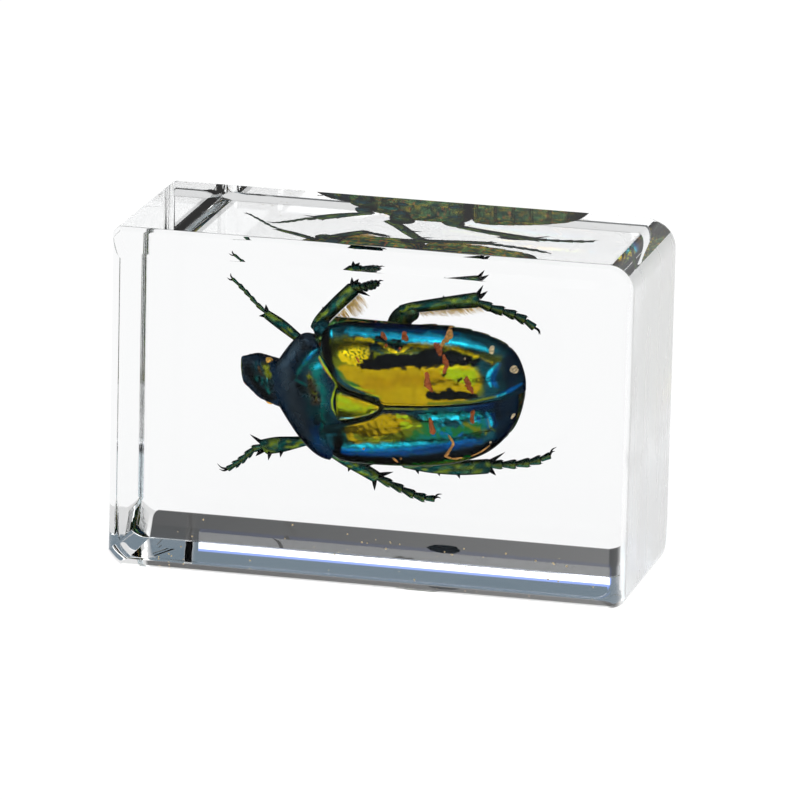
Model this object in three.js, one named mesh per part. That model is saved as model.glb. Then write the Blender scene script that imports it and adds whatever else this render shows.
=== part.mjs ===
// Clear resin block that holds a mounted insect: one cast and polished solid with broken edges.
// Millimetres, +Z up. The origin is the centre of the bottom face, and the front face looks along -Y.
import * as THREE from "three";

// Overall size of the block.
const blockWidth = 44;
const blockDepth = 18.5;
const blockHeight = 29;

// Rounding of the four edges that run from front to back, as seen from the front.
const cornerRadius = { topRight: 2.2, topLeft: 0.8, bottomLeft: 1.4, bottomRight: 1.3 };

// Each edge around the front and the back face is rows of an arc and a flat, from the face to the
// side: the slope in degrees that the arc ends at, its radius, and the length of the flat. The top
// front edge has a hollow facet, and the bottom edges are bevelled.
const frontEdges = {
  top: [
    [26, 0.15, 0],
    [18, 12, 0],
    [50, 0.3, 0.3],
    [90, 0.25, 0],
  ],
  right: [[90, 1.3, 0]],
  bottom: [
    [45, 0.6, 0.6],
    [60, 0.6, 0.5],
    [90, 0.6, 0],
  ],
  left: [[90, 1.3, 0]],
};
const backEdges = {
  top: [[90, 0.3, 0]],
  right: [[90, 1.5, 0]],
  bottom: [
    [42, 0.3, 1.45],
    [43.5, 0.1, 0.35],
    [45, 0.1, 0.95],
    [90, 0.2, 0],
  ],
  left: [[90, 0.6, 0]],
};

// Greatest turn in degrees of one step of an edge's arc, and fineness of the corners' arcs.
const arcTurn = 20;
const cornerSteps = 6;

// Rings closer together than this are one ring.
const leastStep = 0.01;

const resinLook = {
  color: 0xf4f6f5,
  roughness: 0.02,
  metalness: 0,
  transparent: true,
  opacity: 0.35,
};

// The four corners in the order of the outline: the sides that meet there and where its arc starts.
const corners = [
  { name: "topRight", upright: "top", across: "right", signX: 1, signZ: 1, start: 0 },
  { name: "topLeft", upright: "top", across: "left", signX: -1, signZ: 1, start: 90 },
  { name: "bottomLeft", upright: "bottom", across: "left", signX: -1, signZ: -1, start: 180 },
  { name: "bottomRight", upright: "bottom", across: "right", signX: 1, signZ: -1, start: 270 },
];

// Cross-section of one edge: points from the face plane to the side plane, as how far each lies
// behind the face (depth) and inside the side (inset).
function edgeProfile(rows) {
  const points = [{ depth: 0, inset: 0 }];
  const walk = (slope, length) => {
    const angle = THREE.MathUtils.degToRad(slope);
    const last = points[points.length - 1];
    const depth = last.depth + length * Math.sin(angle);
    points.push({ depth, inset: last.inset - length * Math.cos(angle) });
  };
  let start = 0;
  for (const [stop, radius, flat] of rows) {
    const steps = Math.ceil(Math.abs(stop - start) / arcTurn);
    const step = (stop - start) / steps;
    const chord = 2 * radius * Math.sin(THREE.MathUtils.degToRad(Math.abs(step) / 2));
    for (let k = 0; k < steps; k++) walk(start + (k + 0.5) * step, chord);
    if (flat > 0) walk(stop, flat);
    start = stop;
  }
  const overhang = points[points.length - 1].inset;
  return points.map(({ depth, inset }) => ({ depth, inset: inset - overhang }));
}

// How far an edge draws its side in, at a given distance behind the face.
function insetAt(profile, depth) {
  const next = profile.findIndex((point) => point.depth >= depth);
  if (next < 0) return 0;
  if (next === 0) return profile[0].inset;
  const from = profile[next - 1];
  const to = profile[next];
  const share = (depth - from.depth) / (to.depth - from.depth);
  return THREE.MathUtils.lerp(from.inset, to.inset, share);
}

// One ring of the block: a rounded rectangle in an upright plane, whose sides are drawn in by
// their own insets while its corners keep their radius.
function ring(insets, y) {
  return corners.flatMap(({ name, upright, across, signX, signZ, start }) => {
    const radius = cornerRadius[name];
    const centreX = signX * (blockWidth / 2 - insets[across] - radius);
    const centreZ = signZ * (blockHeight / 2 - insets[upright] - radius) + blockHeight / 2;
    return Array.from({ length: cornerSteps + 1 }, (_, k) => {
      const angle = THREE.MathUtils.degToRad(start + (90 * k) / cornerSteps);
      const x = centreX + radius * Math.cos(angle);
      return new THREE.Vector3(x, y, centreZ + radius * Math.sin(angle));
    });
  });
}

// The rings of one face's edges, ordered from the face towards the middle of the block. They lie
// at every depth where one of the four edges has a point.
function edgeRings(edges, faceY, inward) {
  const profiles = Object.entries(edges).map(([side, edge]) => [side, edgeProfile(edge)]);
  const allDepths = profiles.flatMap(([, profile]) => profile.map(({ depth }) => depth));
  const sorted = allDepths.sort((one, other) => one - other);
  const depths = sorted.filter((depth, i) => i === 0 || depth - sorted[i - 1] > leastStep);
  return depths.map((depth) => {
    const insets = profiles.map(([side, profile]) => [side, insetAt(profile, depth)]);
    return ring(Object.fromEntries(insets), faceY + inward * depth);
  });
}

// Skin over the rings, with a fan of triangles around the centre of each end ring.
function skin(rings) {
  const perRing = rings[0].length;
  const ends = [rings[0], rings[rings.length - 1]];
  const centres = ends.map((points) =>
    points.reduce((sum, p) => sum.add(p), new THREE.Vector3()).divideScalar(perRing),
  );
  const vertices = [...rings.flat(), ...centres].flatMap((p) => p.toArray());
  const frontCentre = rings.length * perRing;
  const backCentre = frontCentre + 1;
  const lastRing = (rings.length - 1) * perRing;
  const triangles = [];
  for (let j = 0; j < perRing; j++) {
    const next = (j + 1) % perRing;
    triangles.push(frontCentre, j, next);
    triangles.push(backCentre, lastRing + next, lastRing + j);
    for (let i = 0; i < rings.length - 1; i++) {
      const near = i * perRing;
      const far = near + perRing;
      triangles.push(near + j, far + j, far + next);
      triangles.push(near + j, far + next, near + next);
    }
  }
  const geometry = new THREE.BufferGeometry();
  geometry.setAttribute("position", new THREE.Float32BufferAttribute(vertices, 3));
  geometry.setIndex(triangles);
  geometry.computeVertexNormals();
  return geometry;
}

function resinBlock() {
  const front = edgeRings(frontEdges, -blockDepth / 2, 1);
  const back = edgeRings(backEdges, blockDepth / 2, -1).reverse();
  const mesh = new THREE.Mesh(skin([...front, ...back]), new THREE.MeshStandardMaterial(resinLook));
  mesh.name = "resin_block";
  return mesh;
}

const insectInResin = new THREE.Group();
insectInResin.add(resinBlock());

export default insectInResin;
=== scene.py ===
import math

import bpy
import numpy as np
from mathutils import Matrix, Vector


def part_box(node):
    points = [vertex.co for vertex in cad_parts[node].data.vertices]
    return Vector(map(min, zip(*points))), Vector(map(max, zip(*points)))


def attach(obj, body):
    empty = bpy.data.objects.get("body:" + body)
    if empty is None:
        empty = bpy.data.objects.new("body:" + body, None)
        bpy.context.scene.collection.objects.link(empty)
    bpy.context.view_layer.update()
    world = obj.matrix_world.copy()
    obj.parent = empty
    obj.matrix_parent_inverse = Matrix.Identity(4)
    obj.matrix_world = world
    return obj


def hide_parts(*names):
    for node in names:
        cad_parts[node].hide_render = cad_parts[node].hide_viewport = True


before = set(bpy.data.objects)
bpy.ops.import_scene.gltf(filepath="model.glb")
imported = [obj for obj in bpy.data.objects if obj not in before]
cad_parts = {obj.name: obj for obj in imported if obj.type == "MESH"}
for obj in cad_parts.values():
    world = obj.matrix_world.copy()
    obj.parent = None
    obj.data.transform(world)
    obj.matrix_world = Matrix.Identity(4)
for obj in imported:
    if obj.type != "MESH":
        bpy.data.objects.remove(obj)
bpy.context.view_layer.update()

# Beetle cast in a clear resin block. Lengths are millimetres until makePiece turns them into metres.
mm = 0.001
low, high = [np.array(corner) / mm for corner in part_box("resin_block")]
blockWidth, blockDepth, blockHeight = high - low
print("frame loaded, block", np.round(high - low, 2))


# A shell is a dict of points (n, 3), quads (m, 4), tris (k, 3) and tint (n, 3).
# Volume of a closed shell: the sum over its triangles of a . (b x c) / 6.
def shellVolume(points, tris):
    a, b, c = points[tris[:, 0]], points[tris[:, 1]], points[tris[:, 2]]
    return np.einsum("ij,ij->i", a, np.cross(b, c)).sum() / 6


# Skin over rings (n, m, 3): a quad between each two neighbours. Each end is closed by a fan to a pole
# or, where capped is False, by a ladder between the ring's first half and its second half.
# The winding is turned round where the volume comes out negative, so faces point outwards.
def skin(rings, tint=(0.5, 0.5, 0.5), capped=True):
    n, m, _ = rings.shape
    ids = np.arange(n * m).reshape(n, m)
    near, far = ids[:-1], ids[1:]
    quads = np.stack([near, far, np.roll(far, -1, 1), np.roll(near, -1, 1)], -1).reshape(-1, 4)
    points = rings.reshape(-1, 3)
    colours = np.broadcast_to(np.asarray(tint, float), rings.shape).reshape(-1, 3)
    tris = np.zeros((0, 3), int)
    if capped:
        points = np.concatenate([points, [rings[0].mean(0), rings[-1].mean(0)]])
        colours = np.concatenate([colours, [colours[:m].mean(0), colours[-m:].mean(0)]])
        fanFirst = np.stack([np.full(m, n * m), ids[0], np.roll(ids[0], -1)], -1)
        fanLast = np.stack([np.full(m, n * m + 1), np.roll(ids[-1], -1), ids[-1]], -1)
        tris = np.concatenate([fanFirst, fanLast])
    else:
        j = np.arange(m // 2 - 1)
        ladder = np.stack([j, j + 1, m - 2 - j, m - 1 - j], -1)
        quads = np.concatenate([quads, ids[0][ladder], ids[-1][ladder[:, ::-1]]])
    halves = np.concatenate([quads[:, [0, 1, 2]], quads[:, [0, 2, 3]], tris])
    if shellVolume(points - points.mean(0), halves) < 0:
        quads, tris = quads[:, ::-1], tris[:, ::-1]
    return {"points": points, "quads": quads, "tris": tris, "tint": colours}


# Several shells in one mesh: each shell's faces are shifted by the points before it.
def joined(shells):
    starts = np.cumsum([0] + [len(s["points"]) for s in shells[:-1]])
    return {
        "points": np.concatenate([s["points"] for s in shells]),
        "quads": np.concatenate([s["quads"] + k for s, k in zip(shells, starts)]),
        "tris": np.concatenate([s["tris"] + k for s, k in zip(shells, starts)]),
        "tint": np.concatenate([s["tint"] for s in shells]),
    }


# Writes a shell into a new object at the origin, in metres, that rides on the one body.
def makePiece(name, shell, finish):
    points, quads, tris = shell["points"], shell["quads"], shell["tris"]
    mesh = bpy.data.meshes.new(name)
    mesh.vertices.add(len(points))
    mesh.vertices.foreach_set("co", (points * mm).astype(np.float32).ravel())
    corners = np.concatenate([quads.ravel(), tris.ravel()]).astype(np.int32)
    mesh.loops.add(len(corners))
    mesh.loops.foreach_set("vertex_index", corners)
    starts = np.concatenate([np.arange(len(quads)) * 4, quads.size + np.arange(len(tris)) * 3])
    mesh.polygons.add(len(starts))
    mesh.polygons.foreach_set("loop_start", starts.astype(np.int32))
    mesh.update(calc_edges=True)
    mesh.validate()
    mesh.polygons.foreach_set("use_smooth", np.ones(len(mesh.polygons), bool))
    colours = np.concatenate([shell["tint"], np.ones((len(points), 1))], 1)
    tint = mesh.attributes.new("tint", "FLOAT_COLOR", "POINT")
    tint.data.foreach_set("color", colours.astype(np.float32).ravel())
    mesh.materials.append(finish)
    piece = bpy.data.objects.new(name, mesh)
    bpy.context.scene.collection.objects.link(piece)
    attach(piece, "root")
    return piece


# Screen colour (0-255) to linear light: ((c + 0.055) / 1.055) ^ 2.4 above the toe.
def linear(colour):
    c = np.asarray(colour, float) / 255
    return np.where(c <= 0.04045, c / 12.92, ((c + 0.055) / 1.055) ** 2.4)


lustre = {
    "gold": (176, 150, 14),
    "deepGold": (166, 134, 10),
    "yellow": (214, 190, 20),
    "lime": (158, 182, 24),
    "olive": (104, 114, 24),
    "green": (30, 104, 48),
    "teal": (14, 112, 104),
    "turquoise": (40, 208, 236),
    "blue": (8, 92, 160),
    "deepBlue": (8, 48, 96),
    "navy": (14, 34, 52),
    "slate": (44, 58, 68),
    "black": (8, 11, 13),
    "petrol": (18, 66, 74),
    "rust": (184, 96, 48),
    "tan": (226, 164, 88),
    "cream": (246, 222, 176),
    "legGreen": (22, 62, 58),
    "brown": (86, 62, 34),
}
lustre = {name: linear(colour) for name, colour in lustre.items()}


# Smooth step from 0 to 1 as v goes from a to b: s * s * (3 - 2 s).
def ease(a, b, v):
    s = np.clip((v - a) / (b - a), 0, 1)
    return s * s * (3 - 2 * s)


# Random ripple, about -1 to 1: the mean of plane waves cos(k . p + phase) of mixed directions.
def ripple(x, y, size, seed, count=10):
    draw = np.random.default_rng(seed)
    turn = draw.uniform(0, 2 * math.pi, count)
    rate = 2 * math.pi / size * draw.uniform(0.6, 1.6, count)
    phase = draw.uniform(0, 2 * math.pi, count)
    total = 0
    for t, k, p in zip(turn, rate, phase):
        total = total + np.cos(k * (x * math.cos(t) + y * math.sin(t)) + p)
    return total / math.sqrt(count)


# Share of a brush stroke at (x, y): 1 inside a band along the path, fading to 0 over soft mm, and
# broken up into specks of a size where one is given, by a threshold on a ripple.
# The path's rows are x, y and half width; the distance to each stretch is to its nearest point.
def stroke(x, y, path, soft, wobble=0.0, seed=1, specks=0):
    warp = wobble * (ripple(x, y, 1.3, seed) + 0.6 * ripple(x, y, 0.5, seed + 1))
    best = np.full(np.shape(x), 1e3)
    rows = [np.array(row, float) for row in path]
    if len(rows) == 1:
        rows = rows * 2
    for a, b in zip(rows[:-1], rows[1:]):
        run = b[:2] - a[:2]
        t = ((x - a[0]) * run[0] + (y - a[1]) * run[1]) / max(run @ run, 1e-9)
        t = np.clip(t, 0, 1)
        away = np.hypot(x - a[0] - t * run[0], y - a[1] - t * run[1])
        best = np.minimum(best, away - a[2] - t * (b[2] - a[2]))
    share = 1 - ease(-soft / 2, soft / 2, best + warp)
    return share * ease(0.0, 0.5, ripple(x, y, specks, seed + 2)) if specks else share


# Lays strokes over a base colour, in order: tint = tint * (1 - share) + colour * share.
def painted(x, y, base, strokes):
    tint = np.broadcast_to(lustre[base], np.shape(x) + (3,)).copy()
    for k, (colour, soft, wobble, path, *specks) in enumerate(strokes):
        share = stroke(x, y, path, soft, wobble, 11 + 3 * k, *specks)[..., None]
        tint = tint * (1 - share) + lustre[colour] * share
    return tint


view = {
    "azimuth": 13.47,  # degrees round from the front, towards the right end
    "elevation": 14.68,
    "roll": 1.32,
    "distance": 705.4,
    "focal": 382.3,  # on a 36 mm wide sensor
    "target": (0.67, 0.0, 14.0),
}


# Camera on a line from the target, back = (sin a cos e, -cos a cos e, sin e), turned about it by roll.
def makeCamera():
    azimuth, elevation, roll = [math.radians(view[k]) for k in ("azimuth", "elevation", "roll")]
    back = Vector((
        math.sin(azimuth) * math.cos(elevation),
        -math.cos(azimuth) * math.cos(elevation),
        math.sin(elevation),
    ))
    place = (Vector(view["target"]) + back * view["distance"]) * mm
    level = (-back).cross(Vector((0, 0, 1))).normalized()
    upright = level.cross(-back)
    right = math.cos(roll) * level + math.sin(roll) * upright
    up = math.cos(roll) * upright - math.sin(roll) * level
    lens = bpy.data.cameras.new("camera")
    lens.sensor_width = 36
    lens.lens = view["focal"]
    lens.clip_start = 0.01
    lens.clip_end = 100
    camera = bpy.data.objects.new("camera", lens)
    bpy.context.scene.collection.objects.link(camera)
    columns = Matrix((right, up, back)).transposed().to_4x4()
    camera.matrix_world = Matrix.Translation(place) @ columns
    bpy.context.scene.camera = camera


studio = {
    "floorDrop": 0.1,  # mm below the block, so that the two faces don't coincide
    "floorHalf": 3000,
    "floorGlow": 0.97,
    "padGlow": 1.6,  # a light pad under the block, just inside its footprint
    "padMargin": 1.5,
    # light of the room by the sine of the elevation; behind the block it is darker
    "room": [
        (-1, (0.9, 0.9, 0.9)),
        (-0.01, (0.9, 0.9, 0.9)),
        (0.02, (0.8, 0.8, 0.8)),
        (0.55, (0.8, 0.8, 0.8)),
        (0.58, (1.3, 1.3, 1.3)),
        (0.63, (1.3, 1.3, 1.3)),
        (0.66, (0.8, 0.8, 0.8)),
        (0.85, (0.26, 0.3, 0.34)),
        (1, (0.17, 0.23, 0.28)),
    ],
    # a lamp overhead with a bluish rim: where it lies, cosines of its rim and core, and its light
    "lamp": {"toward": (-0.22, -0.27, 0.937), "rim": 0.99, "core": 1.0},
    "lampLight": [
        (0.25, (0, 0, 0)),
        (0.5, (0.06, 0.14, 0.6)),
        (0.8, (0.4, 0.5, 1.1)),
        (0.92, (1.7, 1.7, 1.7)),
    ],
    # darker patch of the room behind the block: where it lies, cosines of its rim and core, its share
    "behind": {"toward": (-0.38, 0.875, 0.3), "rim": 0.92, "core": 0.99, "share": 0.11},
    # softboxes: place in metres, width and height in metres, and power in watts; all look at aim
    "aim": (0, 0, 0.015),
    "lights": [
        ((0, -1.1, 0.3), (1.1, 0.36), 1.25),
        ((-0.9, -0.2, 0.4), (0.7, 0.6), 1.6),
        ((0.9, -0.2, 0.4), (0.7, 0.6), 1.6),
        ((0, -0.9, 0.9), (0.6, 0.6), 3.0),
    ],
}


# A material with its Principled shader.
def newFinish(name):
    finish = bpy.data.materials.new(name)
    finish.use_nodes = True
    return finish, finish.node_tree.nodes["Principled BSDF"]


# Adds a node: inputs that are sockets are linked, the others are set.
def addNode(tree, kind, inputs=None, **settings):
    node = tree.nodes.new(kind)
    for key, value in settings.items():
        setattr(node, key, value)
    for key, value in (inputs or {}).items():
        if isinstance(value, bpy.types.NodeSocket):
            tree.links.new(value, node.inputs[key])
        else:
            node.inputs[key].default_value = value
    return node


# Straight rescale of a socket from a span (p, q) to a target (a, b): a + (v - p) / (q - p) * (b - a),
# kept inside the target.
def rescaled(tree, source, span, target=(0.0, 1.0)):
    inputs = {0: source, 1: span[0], 2: span[1], 3: target[0], 4: target[1]}
    return addNode(tree, "ShaderNodeMapRange", inputs).outputs[0]


# Cosine between a direction and a place in the room: their dot product.
def cosineTo(tree, direction, toward):
    dot = addNode(tree, "ShaderNodeVectorMath", {0: direction, 1: toward}, operation="DOT_PRODUCT")
    return dot.outputs["Value"]


# Flat sheet of the stage with its own glow, at a height z.
def makeGround(name, halfX, halfY, z, glow):
    finish, shader = newFinish(name)
    shader.inputs["Base Color"].default_value = (0.1, 0.1, 0.1, 1)
    shader.inputs["Roughness"].default_value = 0.9
    shader.inputs["Specular IOR Level"].default_value = 0
    shader.inputs["Emission Color"].default_value = (1, 1, 1, 1)
    shader.inputs["Emission Strength"].default_value = glow
    corners = np.array([(-halfX, -halfY, z), (halfX, -halfY, z), (halfX, halfY, z), (-halfX, halfY, z)])
    mesh = bpy.data.meshes.new(name)
    mesh.from_pydata((corners * mm).tolist(), [], [(0, 1, 2, 3)])
    mesh.materials.append(finish)
    sheet = bpy.data.objects.new(name, mesh)
    bpy.context.scene.collection.objects.link(sheet)


# Floor, light pad, the world's light by elevation with its dark patch and its lamp, and softboxes.
def makeStage():
    half = studio["floorHalf"]
    makeGround("paper_floor", half, half, -studio["floorDrop"], studio["floorGlow"])
    padX, padY = blockWidth / 2 - studio["padMargin"], blockDepth / 2 - studio["padMargin"]
    makeGround("light_pad", padX, padY, -studio["floorDrop"] / 2, studio["padGlow"])
    world = bpy.data.worlds.new("studio")
    bpy.context.scene.world = world
    world.use_nodes = True
    tree = world.node_tree
    direction = addNode(tree, "ShaderNodeTexCoord").outputs["Generated"]
    axes = addNode(tree, "ShaderNodeSeparateXYZ", {0: direction})
    ramp = addNode(tree, "ShaderNodeValToRGB", {0: rescaled(tree, axes.outputs["Z"], (-1.0, 1.0))})
    stops = studio["room"]
    elements = ramp.color_ramp.elements
    elements[0].color = (*stops[0][1], 1)
    elements[1].color = (*stops[-1][1], 1)
    for sine, light in stops[1:-1]:
        elements.new((sine + 1) / 2).color = (*light, 1)
    behind = studio["behind"]
    away = cosineTo(tree, direction, behind["toward"])
    away = rescaled(tree, away, (behind["rim"], behind["core"]), (1.0, behind["share"]))
    shaded = addNode(tree, "ShaderNodeVectorMath", {0: ramp.outputs[0]}, operation="SCALE")
    tree.links.new(away, shaded.inputs["Scale"])
    lamp = studio["lamp"]
    near = rescaled(tree, cosineTo(tree, direction, lamp["toward"]), (lamp["rim"], lamp["core"]))
    glow = addNode(tree, "ShaderNodeValToRGB", {0: near})
    elements = glow.color_ramp.elements
    elements[0].color = (0, 0, 0, 1)
    elements[1].color = (*studio["lampLight"][-1][1], 1)
    for place, light in studio["lampLight"]:
        elements.new(place).color = (*light, 1)
    total = addNode(tree, "ShaderNodeVectorMath", {0: shaded.outputs[0], 1: glow.outputs[0]})
    tree.links.new(total.outputs[0], tree.nodes["Background"].inputs["Color"])

    aim = Vector(studio["aim"])
    for k, (place, size, power) in enumerate(studio["lights"]):
        softbox = bpy.data.lights.new(f"softbox_{k}", "AREA")
        softbox.shape = "RECTANGLE"
        softbox.size, softbox.size_y = size
        softbox.energy = power
        box = bpy.data.objects.new(softbox.name, softbox)
        bpy.context.scene.collection.objects.link(box)
        box.location = place
        box.rotation_euler = (aim - Vector(place)).to_track_quat("-Z", "Y").to_euler()
    bpy.context.scene.view_settings.view_transform = "Standard"


makeCamera()
makeStage()
print("camera, floor and lights in place")


resin = {
    "cornerRadius": {"topRight": 2.2, "topLeft": 0.6, "bottomLeft": 1.1, "bottomRight": 1.3},
    # 1 for a round corner, 2 for a straight cut across it
    "cornerCut": {"topRight": 1, "topLeft": 1.7, "bottomLeft": 1.7, "bottomRight": 1},
    # Edges round the front and the back face. From the face to the side, each row is an arc and a flat:
    # the slope in degrees that the arc ends at, its radius, and the length of the flat.
    "front": {
        "top": ((26, 0.15, 0), (18, 12.0, 0), (50, 0.3, 0.3), (90, 0.25, 0)),
        "right": ((90, 1.3, 0),),
        "bottom": ((45, 0.6, 0.6), (60, 0.6, 0.5), (90, 0.6, 0)),
        "left": ((90, 1.3, 0),),
    },
    "back": {
        "top": ((90, 0.3, 0),),
        "right": ((90, 1.5, 0),),
        "bottom": ((42, 0.3, 1.45), (43.5, 0.1, 0.35), (45, 0.1, 0.95), (90, 0.2, 0)),
        "left": ((90, 0.6, 0),),
    },
    "arcSteps": 10,
    "cornerSteps": 14,
    "ior": 1.55,
    "colour": (0.915, 0.915, 0.915),
    "polished": {"clear": 1.0, "sheen": 0.14, "roughness": 0.0},
    "sanded": {"clear": 0.4, "sheen": 1.0, "roughness": 0.25},  # the right end
    "sandedFrom": 0.75,  # faces whose normal's x is past this are sanded
    "grain": (1, 250, 20),  # scratches of the sanded skin, per metre
    "tinge": (0.88, 0.93, 0.95),  # what the resin lets through, and how fast it takes away the rest
    "density": 4.0,
}


# Cross-section of an edge as depth behind the face, inset from the side and slope in degrees:
# arcs and flats walked end to end, each step adding (sin, -cos) of its slope.
def edgeProfile(rows):
    slopes, lengths, ends = [], [], [0.0]
    for stop, radius, flat in rows:
        start = ends[-1]
        turn = (stop - start) / resin["arcSteps"]
        ends += [start + (j + 1) * turn for j in range(resin["arcSteps"])]
        slopes += [start + (j + 0.5) * turn for j in range(resin["arcSteps"])]
        lengths += [2 * radius * math.sin(math.radians(abs(turn) / 2))] * resin["arcSteps"]
        if flat:
            slopes.append(stop)
            ends.append(stop)
            lengths.append(flat)
    angle = np.radians(slopes)
    depth = np.concatenate([[0], np.cumsum(lengths * np.sin(angle))])
    inset = np.concatenate([[0], -np.cumsum(lengths * np.cos(angle))])
    return depth, inset - inset[-1], np.array(ends)


# Rings round one face: at each depth a rounded rectangle whose sides are drawn in by their insets.
# A ring's normals are square to the outline and to the walk along the two edges' slopes.
def edgeRings(edges, faceY, inward):
    profiles = {side: edgeProfile(edge) for side, edge in edges.items()}
    depths = np.unique(np.round(np.concatenate([p[0] for p in profiles.values()]), 3))
    inset = {side: np.interp(depths, p[0], p[1], right=0.0) for side, p in profiles.items()}
    slope = {side: np.interp(depths, p[0], p[2], right=90.0) for side, p in profiles.items()}
    cot = {side: 1 / np.tan(np.radians(np.maximum(s, 0.001))) for side, s in slope.items()}
    points, normals = [], []
    quarter = np.radians(np.linspace(0, 90, resin["cornerSteps"] + 1))
    for corner, start, signX, signZ in (
        ("topRight", 0, 1, 1),
        ("topLeft", 90, -1, 1),
        ("bottomLeft", 180, -1, -1),
        ("bottomRight", 270, 1, -1),
    ):
        radius = resin["cornerRadius"][corner]
        across = "right" if signX > 0 else "left"
        upright = "top" if signZ > 0 else "bottom"
        angle = quarter + math.radians(start)
        centreX = signX * (blockWidth / 2 - inset[across] - radius)
        centreZ = signZ * (blockHeight / 2 - inset[upright] - radius) + blockHeight / 2
        cut = resin["cornerCut"][corner]
        acrossShare, uprightShare = np.abs(np.cos(angle)) ** cut, np.abs(np.sin(angle)) ** cut
        x = centreX[:, None] + signX * radius * acrossShare
        z = centreZ[:, None] + signZ * radius * uprightShare
        facing = np.stack([np.abs(np.cos(angle)) ** (2 - cut), np.abs(np.sin(angle)) ** (2 - cut)])
        facing = facing / np.linalg.norm(facing, axis=0)
        y = np.broadcast_to((faceY + inward * depths)[:, None], x.shape)
        lean = facing[0] * cot[across][:, None] + facing[1] * cot[upright][:, None]
        normal = np.stack(np.broadcast_arrays(signX * facing[0], -inward * lean, signZ * facing[1]), -1)
        points.append(np.stack([x, y, z], -1))
        normals.append(normal / np.linalg.norm(normal, axis=-1, keepdims=True))
    return np.concatenate(points, 1), np.concatenate(normals, 1)


# Resin with a polished skin, or with a sanded one that scatters part of the light and has a grain.
def resinFinish(name, clear, sheen, roughness):
    finish, shader = newFinish(name)
    tree = finish.node_tree
    shader.inputs["Base Color"].default_value = (*resin["colour"], 1)
    shader.inputs["Transmission Weight"].default_value = clear
    shader.inputs["IOR"].default_value = resin["ior"]
    shader.inputs["Specular Tint"].default_value = (sheen, sheen, sheen, 1)
    where = addNode(tree, "ShaderNodeTexCoord").outputs["Object"]
    stretch = addNode(tree, "ShaderNodeMapping", {0: where, "Scale": resin["grain"]})
    grain = addNode(tree, "ShaderNodeTexNoise", {"Vector": stretch.outputs[0], "Scale": 1.0, "Detail": 4.0})
    matt = rescaled(tree, grain.outputs[0], (0.3, 0.7), (roughness * 0.7, roughness * 1.3))
    tree.links.new(matt, shader.inputs["Roughness"])
    inside = {"Color": (*resin["tinge"], 1), "Density": resin["density"]}
    absorbing = addNode(tree, "ShaderNodeVolumeAbsorption", inside)
    tree.links.new(absorbing.outputs[0], tree.nodes["Material Output"].inputs["Volume"])
    return finish


# The block: rings of the front edges, then those of the back edges, joined by one skin. The faces
# that look to the right are sanded.
def makeBlock():
    front, frontNormals = edgeRings(resin["front"], -blockDepth / 2, 1)
    back, backNormals = edgeRings(resin["back"], blockDepth / 2, -1)
    rings = np.concatenate([front, back[::-1]])
    normals = np.concatenate([frontNormals, backNormals[::-1]]).reshape(-1, 3)
    shell = skin(rings, (1, 1, 1))
    block = makePiece("clear_block", shell, resinFinish("clear_resin", **resin["polished"]))
    block.data.materials.append(resinFinish("sanded_resin", **resin["sanded"]))
    facing = np.array([face.normal.x for face in block.data.polygons])
    block.data.polygons.foreach_set("material_index", (facing > resin["sandedFrom"]).astype(np.int32))
    normals = np.concatenate([normals, [(0, -1, 0), (0, 1, 0)]])
    block.data.normals_split_custom_set_from_vertices(normals.tolist())
    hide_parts("resin_block")


makeBlock()
print("resin block cast")


# The beetle is modelled lying level: x from head to tail, y to its right side, z out of its back.
# It is then bent a little sideways and laid in the block with its back to the front face.
pose = {
    "centre": (0.0, -1.25, 16.0),
    "climb": 2.4,  # degrees, tail end up
    "roll": 9.0,  # degrees, back turned down
    "bend": 0.006,  # sideways, per mm of squared distance from the stiffest place
    "stiffest": 0.7,
    "sag": 0.4,
}


# Sideways bend: y + bend * (x - stiffest)^2 - sag, then the three axes of the pose.
def laidIn(points):
    climb, roll = math.radians(pose["climb"]), math.radians(pose["roll"])
    along = np.array([math.cos(climb), 0, math.sin(climb)])
    side = np.array([-math.sin(climb), 0, math.cos(climb)])
    out = np.array([0, -1.0, 0])
    right = math.cos(roll) * side + math.sin(roll) * out
    back = math.cos(roll) * out - math.sin(roll) * side
    x, y, z = points[..., 0], points[..., 1], points[..., 2]
    bent = y + pose["bend"] * (x - pose["stiffest"]) ** 2 - pose["sag"]
    return np.array(pose["centre"]) + x[..., None] * along + bent[..., None] * right + z[..., None] * back


# Lays a part of the beetle in the block and makes it.
def addPart(name, shell, finish):
    return makePiece(name, {**shell, "points": laidIn(shell["points"])}, finish)


# Fineness of the skin's noises and pits per metre, and the depth of its bumps in metres.
skinGrain = {"fine": 2500.0, "broad": 900.0, "pits": 4200.0, "depth": 0.00004}


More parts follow.
